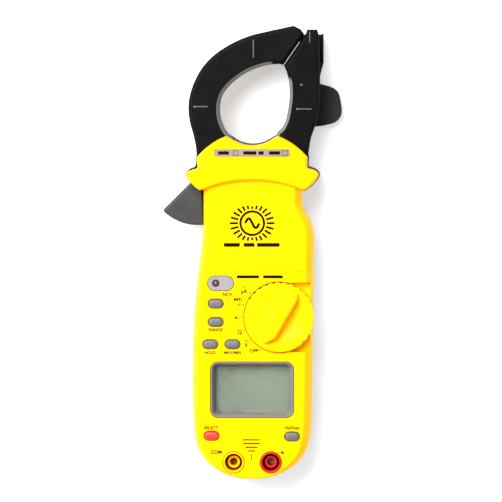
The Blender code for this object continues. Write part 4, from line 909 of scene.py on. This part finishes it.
def knob():
    low = CEILING - 1.6
    rings = ((0.0, low), (0.0, KNOB_TOP - 0.9), (0.12, KNOB_TOP - 0.5), (0.4, KNOB_TOP - 0.15), (0.9, KNOB_TOP))
    dial = loft("selector_dial", [knob_rim(inset, z) for inset, z in rings], YELLOW_KNOB)
    detent = turned([(KNOB_X + 12.0, KNOB_Y)], KNOB, KNOB_POINTS + 175.0)[0]
    cut(dial, rod("pocket", detent, 1.5, low - 1, low + 1.6, 16))
    cut(dial, knob_scoop(1))
    cut(dial, knob_scoop(-1))
    reach, width = KNOB_RADIUS - 2.6, 4.6
    shape = [(reach, -1.0), (reach, 1.0)]
    shape += curve([(reach - 5.0, width - 0.7), (0.0, width - 0.7), (3.0 - reach, width - 0.7)], 3)
    shape += [(-reach, 2.6), (-reach, -2.6)] + curve([(-reach + 3.0, -width), (0.0, -width), (reach - 5.0, -width)], 3)
    outline = turned([(KNOB_X + x, KNOB_Y + y) for x, y in shape], KNOB, KNOB_POINTS)
    bar = stack("bar", outline, [
        (KNOB_TOP - 3.3, 0.25), (KNOB_TOP - 1.1, 0.2), (BAR_TOP - 1.6, -0.25), (BAR_TOP - 0.8, -0.5),
        (BAR_TOP - 0.3, -0.85), (BAR_TOP - 0.06, -1.3), (BAR_TOP, -1.8),
    ])
    shaft = turned_body("shaft", KNOB, ((KNOB_SHAFT_RADIUS, low + 1), (KNOB_SHAFT_RADIUS, BOARD_TOP + 2.6)))
    join(dial, bar)
    join(dial, shaft)
    placed(dial, "selector", ["selector_knob"], "yellow_plastic")


# ---- buttons, window, jacks

def buttons():
    for name, place in BUTTONS.items():
        look = CAP_RED if name == "select" else CAP_GREY
        low, high = BOARD_TOP + 5.0, FACE_Z + BUTTON_RISE
        cap = stack(f"cap_{name}", key_outline(place), [
            (low + 2.6, 0.0), (high - 1.1, 0.0), (high - 0.75, -0.1), (high - 0.45, -0.32), (high - 0.22, -0.65),
            (high - 0.08, -1.1), (high, -1.8),
        ], look)
        join(cap, prism("flange", key_outline(place, 2 * FLANGE), low + 2.0, CEILING - FIT, look))
        join(cap, rod("stem", place, 1.6, low, low + 3.0, 16, look))
        placed(cap, f"button_{name}", [f"button_{name}"], "red_plastic" if name == "select" else "button_grey")

    window = stack("indicator_window", window_outline(), rounded(CEILING - 1.0, FACE_Z, 0.3, 4), WINDOW)
    join(window, prism("flange", window_outline(2 * FLANGE), CEILING - 1.6, CEILING - FIT, WINDOW))
    cut(window, mouth(circle(LED_PLACE, LED_RADIUS + FIT, 40), CEILING - 3, FACE_Z, 0.2))
    placed(window, "case", ["led_window"], "window_plastic")
    dome = FACE_Z - 1.4
    profile = [(LED_RADIUS + 0.3, BOARD_TOP + FIT), (LED_RADIUS + 0.3, BOARD_TOP + 1.4), (LED_RADIUS, BOARD_TOP + 1.4)]
    profile += [(LED_RADIUS * math.cos(math.radians(turn)), dome + 1.5 * math.sin(math.radians(turn)))
                for turn in range(0, 90, 9)]
    placed(turned_body("indicator_led", LED_PLACE, profile + [(0.05, dome + 1.5)], LED_TINT, 32), "case", ["ncv_led"],
           "red_plastic")


def jacks():
    rim, floor = FACE_Z + JACK_RISE, REAR_DEPTH + 0.6
    low = floor + 1.6 + FIT
    for name, x, look, slot in (("com", -JACK_X, YELLOW, "yellow_plastic"), ("pos", JACK_X, JACK_RED, "red_plastic")):
        centre = (x, JACK_Y)
        shroud = stack(f"socket_{name}_shroud", circle(centre, JACK_RADIUS, 64), rounded(floor, rim, 0.4, 4), look)
        cut(shroud, mouth(circle(centre, JACK_BORE, 64), floor + 1.6, rim, 0.3),
            rod("tail hole", centre, POST_RADIUS - 0.8, floor - 1, floor + 2, 24))
        placed(shroud, "case", [f"jack_{name}_shroud"], slot)
        top = rim - POST_SINK
        post = turned_body(f"socket_{name}_post", centre, (
            (POST_RADIUS - 1.4, floor - 2.0), (POST_RADIUS - 1.4, low), (POST_RADIUS, low), (POST_RADIUS, top - 0.5),
            (POST_RADIUS - 0.12, top - 0.15), (POST_RADIUS - 0.4, top),
        ), look, 48)
        cut(post, mouth(circle(centre, POST_BORE, 48), low + 1.5, top, 0.25))
        painted(post, BRASS, lambda face: face.center.z / MM < low or face.center.z / MM < top - 0.9 and math.hypot(
            face.center.x / MM - x, face.center.y / MM - JACK_Y) < POST_BORE - 0.02)
        placed(post, "case", [f"jack_{name}_socket"], "brass")


# ---- printed marks

INK, INK_FOOT = 0.035, 0.01


def printed(outline, z):
    """A flat printed shape."""
    return prism("print", outline, z - INK_FOOT, z + INK, PRINT)


def lettering(text, place, size, z):
    """Generic printed characters as a thin closed mesh."""
    data = bpy.data.curves.new(text, "FONT")
    data.body = text
    data.size = size * MM * 1.38
    data.extrude = INK * MM / 2
    data.offset = 0.05 * size * MM
    data.resolution_u = 3
    data.align_x, data.align_y = "CENTER", "CENTER"
    carrier = added(text, data)
    mesh = evaluated(carrier)
    bpy.data.objects.remove(carrier)
    mesh.transform(Matrix.Translation(Vector((*place, z + INK / 2 - INK_FOOT)) * MM))
    mesh.materials.clear()
    mesh.materials.append(PRINT)
    work = bmesh.new()
    work.from_mesh(mesh)
    bmesh.ops.remove_doubles(work, verts=work.verts, dist=0.0005 * MM)
    work.to_mesh(mesh)
    work.free()
    return added("text", mesh)


def stroke(points, width, z, closed=False):
    """A printed line of even width along the points."""
    count = len(points)
    sides = [[], []]
    for index, point in enumerate(points):
        before = points[index - 1] if closed or index else point
        after = points[(index + 1) % count] if closed or index < count - 1 else point
        along = (Vector(after) - Vector(before)).normalized()
        normal = Vector((-along.y, along.x)) * width / 2
        for side, sign in ((0, 1), (1, -1)):
            sides[side].append(Vector(point) + normal * sign)
    low, high = z - INK_FOOT, z + INK
    rings = [[(left.x, left.y, low), (left.x, left.y, high), (right.x, right.y, high), (right.x, right.y, low)]
             for left, right in zip(*sides)]
    spots = [spot for ring in rings for spot in ring]
    faces = []
    for index in range(count if closed else count - 1):
        here, there = index * 4, ((index + 1) % count) * 4
        faces += [(here + side, here + (side + 1) % 4, there + (side + 1) % 4, there + side) for side in range(4)]
    if not closed:
        faces += [(0, 1, 2, 3), (count * 4 - 4, count * 4 - 3, count * 4 - 2, count * 4 - 1)]
    return solid("stroke", spots, faces, PRINT)


def prints():
    z = FACE_Z
    words = [
        ("NCV", (-12.7, -20.9), 1.7), ("RANGE", (-18.7, -39.0), 1.6), ("HOLD", (-21.6, -50.7), 1.5),
        ("MAX/MIN", (-10.0, -50.7), 1.5), ("OFF", (0.9, -49.7), 1.9), ("V", (-3.1, -46.8), 2.0),
        ("Ω", (-6.4, -40.2), 2.2), ("µA", (-4.2, -19.3), 2.0), ("MFD", (-7.3, -23.5), 1.6),
        ("SELECT", (-21.0, -89.2), 1.6), ("Hz/Duty", (20.4, -89.2), 1.6), ("COM", (-18.4, -101.7), 1.8),
        ("+", (15.4, -102.0), 2.6),
    ]
    shells = [lettering(text, place, size, z) for text, place, size in words]
    for degrees in (240.0, 220.0, 200.0, 180.0, 160.0, 140.0):
        turn = math.radians(degrees)
        spot = (KNOB_X + 19.4 * math.cos(turn), KNOB_Y + 19.4 * math.sin(turn))
        shells.append(printed(circle(spot, 0.36, 12), z))
    # direct and alternating signs over the V and the A, capacitor and diode signs
    supply = ((0.3, [(-0.8, 0.5), (0.8, 0.5)]), (0.3, [(-0.8, -0.2), (0, -0.2), (0.8, -0.2)]))
    capacitor = ((0.25, [(-1.4, 0), (-0.3, 0)]), (0.28, [(-0.3, -0.9), (-0.3, 0.9)]),
                 (0.28, [(0.3, -0.9), (0.3, 0.9)]), (0.25, [(0.3, 0), (1.4, 0)]))
    for x, y, lines in ((-3.1, -44.6, supply), (-4.0, -17.0, supply), (-6.9, -26.1, capacitor)):
        shells += [stroke([(x + across, y + rise) for across, rise in points], width, z) for width, points in lines]
    x, y = -7.9, -32.8
    shells += [printed([(x - 0.9, y - 0.9), (x + 0.6, y), (x - 0.9, y + 0.9)], z),
               stroke([(x + 0.75, y - 0.9), (x + 0.75, y + 0.9)], 0.28, z)]
    # lead from the detector sign to its button
    shells.append(stroke(curve([(-12.4, -22.4), (-12.3, -24.8), (-12.9, -25.8), (-14.0, -26.0)], 5), 0.22, z))
    # plain rules in place of words
    shells += [printed(rectangle((x, -11.8), width, 1.5, 0.5, 4), z) for x, width in ((-2.2, 11.4), (10.6, 10.2))]
    shells += [printed(rectangle((-0.4, y), width, 0.6), z)
               for y, width in ((-95.3, 8.6), (-97.2, 8.6), (-99.1, 6.2), (-101.0, 3.6))]
    shells.append(stroke([(-0.4, -102.6), (-0.4, -105.6)], 0.4, z))
    placed(merged("face_legends", *shells), "case")

    # a plain dial sign: a ring of rays round an alternating-current wave, over three bars
    middle = (0.0, 15.6)
    emblem = [stroke(circle(middle, 6.0, 64), 1.2, z, True)]
    wave = [(-3.6 + 7.2 * step / 32, middle[1] + 2.4 * math.sin(2 * math.pi * step / 32)) for step in range(33)]
    emblem.append(stroke(wave, 1.3, z))
    for degrees in range(0, 360, 15):
        ends = (7.3, 8.6 + 2.8 * abs(math.cos(math.radians(degrees))))
        emblem.append(stroke([arc(middle, radius, degrees, degrees, 1)[0] for radius in ends], 1.1, z))
    emblem += [printed(rectangle((x, 4.5), width, 1.9, 0.5, 4), z)
               for x, width in ((-10.4, 8.2), (-1.6, 5.6), (8.2, 11.6))]
    placed(merged("face_emblem", *emblem), "case")

    z = STRIP_TOP
    marks = [prism("mark", rectangle((x, STRIP_Y), width, 1.7, 0.2, 3), z - 0.02, z + INK, PRINT)
             for x, width in ((-14.6, 5.6), (-1.2, 6.6), (4.6, 2.6), (11.4, 5.6))]
    marks += [stroke(rectangle((x, STRIP_Y), 2.4, 2.4), 0.35, z, True) for x in (-8.4, 16.8)]
    placed(merged("head_strip_marks", *marks), "case")


# ---- carried-over CAD nodes

CARRIED = (
    (LENS, "lcd_window"), (DISPLAY, "lcd_glass"), (WHITE, "backlight wiper_carrier"), (RUBBER, "zebra_strip"),
    (STEEL, "pivot_pin return_spring detent_ball detent_spring contact_bridge contact_negative contact_positive"),
    (IRON, "moving_core fixed_core"), (COPPER, "moving_coil fixed_coil"), (BRASS, "wiper_contacts"),
    (BOARD, "circuit_board"), (CHIP, "processor_chip buzzer"), (SLEEVE, "battery_1 battery_2"),
)


def carried_nodes():
    looks = {name: look for look, names in CARRIED for name in names.split()}
    for name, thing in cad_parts.items():
        look = looks.get(name, CHIP if name.startswith("switch_") else None)
        if look is None:
            continue
        for slot in thing.material_slots:
            slot.material = look


# ---- floor, light, camera

def area_light(name, place, side, power):
    """A square light that looks at the middle of the case."""
    data = bpy.data.lights.new(name, "AREA")
    data.shape, data.size, data.size_y, data.energy = "RECTANGLE", side, side, power
    thing = added(name, data)
    thing.location = place
    thing.rotation_euler = (Vector((0, 0, 0.02)) - Vector(place)).to_track_quat("-Z", "Y").to_euler()


def studio():
    mesh = bpy.data.meshes.new("floor")
    mesh.from_pydata([(-3, -3, 0), (3, -3, 0), (3, 3, 0), (-3, 3, 0)], [], [(0, 1, 2, 3)])
    mesh.materials.append(finish_of("studio floor", (0.80, 0.80, 0.81), 0.9, mottle=0.01, mottle_size=300.0,
                                    grain=0.0, Emission_Color=(1.0, 1.0, 1.0, 1.0), Emission_Strength=0.42))
    floor = added("floor", mesh)
    floor.location.z = -0.3 * MM

    world = bpy.data.worlds.new("studio")
    world.use_nodes = True
    tree = world.node_tree
    parts = node(tree, "SeparateXYZ")
    link(node(tree, "TexCoord"), "Generated", parts, "Vector")
    # the room is white low down and grey overhead, and darker on the right-hand side
    ramp = shades_of(tree, 0.35, (1.0, 1.0, 1.0), 0.93, (0.10, 0.10, 0.105))
    link(parts, "Z", ramp, "Fac")
    across = node(tree, "MapRange", From_Min=-0.6, From_Max=0.9, To_Min=1.1, To_Max=0.35)
    link(parts, "X", across, "Value")
    shaded = node(tree, "VectorMath", operation="SCALE")
    link(ramp, "Color", shaded, "Vector")
    link(across, "Result", shaded, "Scale")
    background = tree.nodes["Background"]
    background.inputs["Strength"].default_value = 1.35
    link(shaded, "Vector", background, "Color")
    bpy.context.scene.world = world

    area_light("key", (-0.45, 0.5, 1.0), 0.9, 31.0)
    area_light("fill", (0.8, -0.2, 0.9), 0.8, 3.0)

    scene = bpy.context.scene
    scene.view_settings.view_transform = "Standard"
    lens = bpy.data.cameras.new("camera")
    camera = added("camera", lens)
    target = Vector((-0.75, 1.0, 25.0)) * MM
    away, sideways, upwards = 2.20, math.radians(0.8), math.radians(2.5)
    direction = Vector((math.sin(sideways), math.sin(upwards), math.cos(sideways) * math.cos(upwards)))
    camera.location = target + direction * away
    back = (camera.location - target).normalized()
    right = Vector((0.0, 1.0, 0.0)).cross(back).normalized()
    camera.rotation_euler = Matrix((right, back.cross(right), back)).transposed().to_euler()
    view_width = 257.3 * MM
    lens.sensor_width = 36.0
    lens.lens = lens.sensor_width * away / view_width
    lens.clip_start, lens.clip_end = 0.05, 20.0
    scene.camera = camera


front_shell()
rear_shell()
case_details()
jaws()
display()
knob()
buttons()
jacks()
prints()
carried_nodes()
studio()
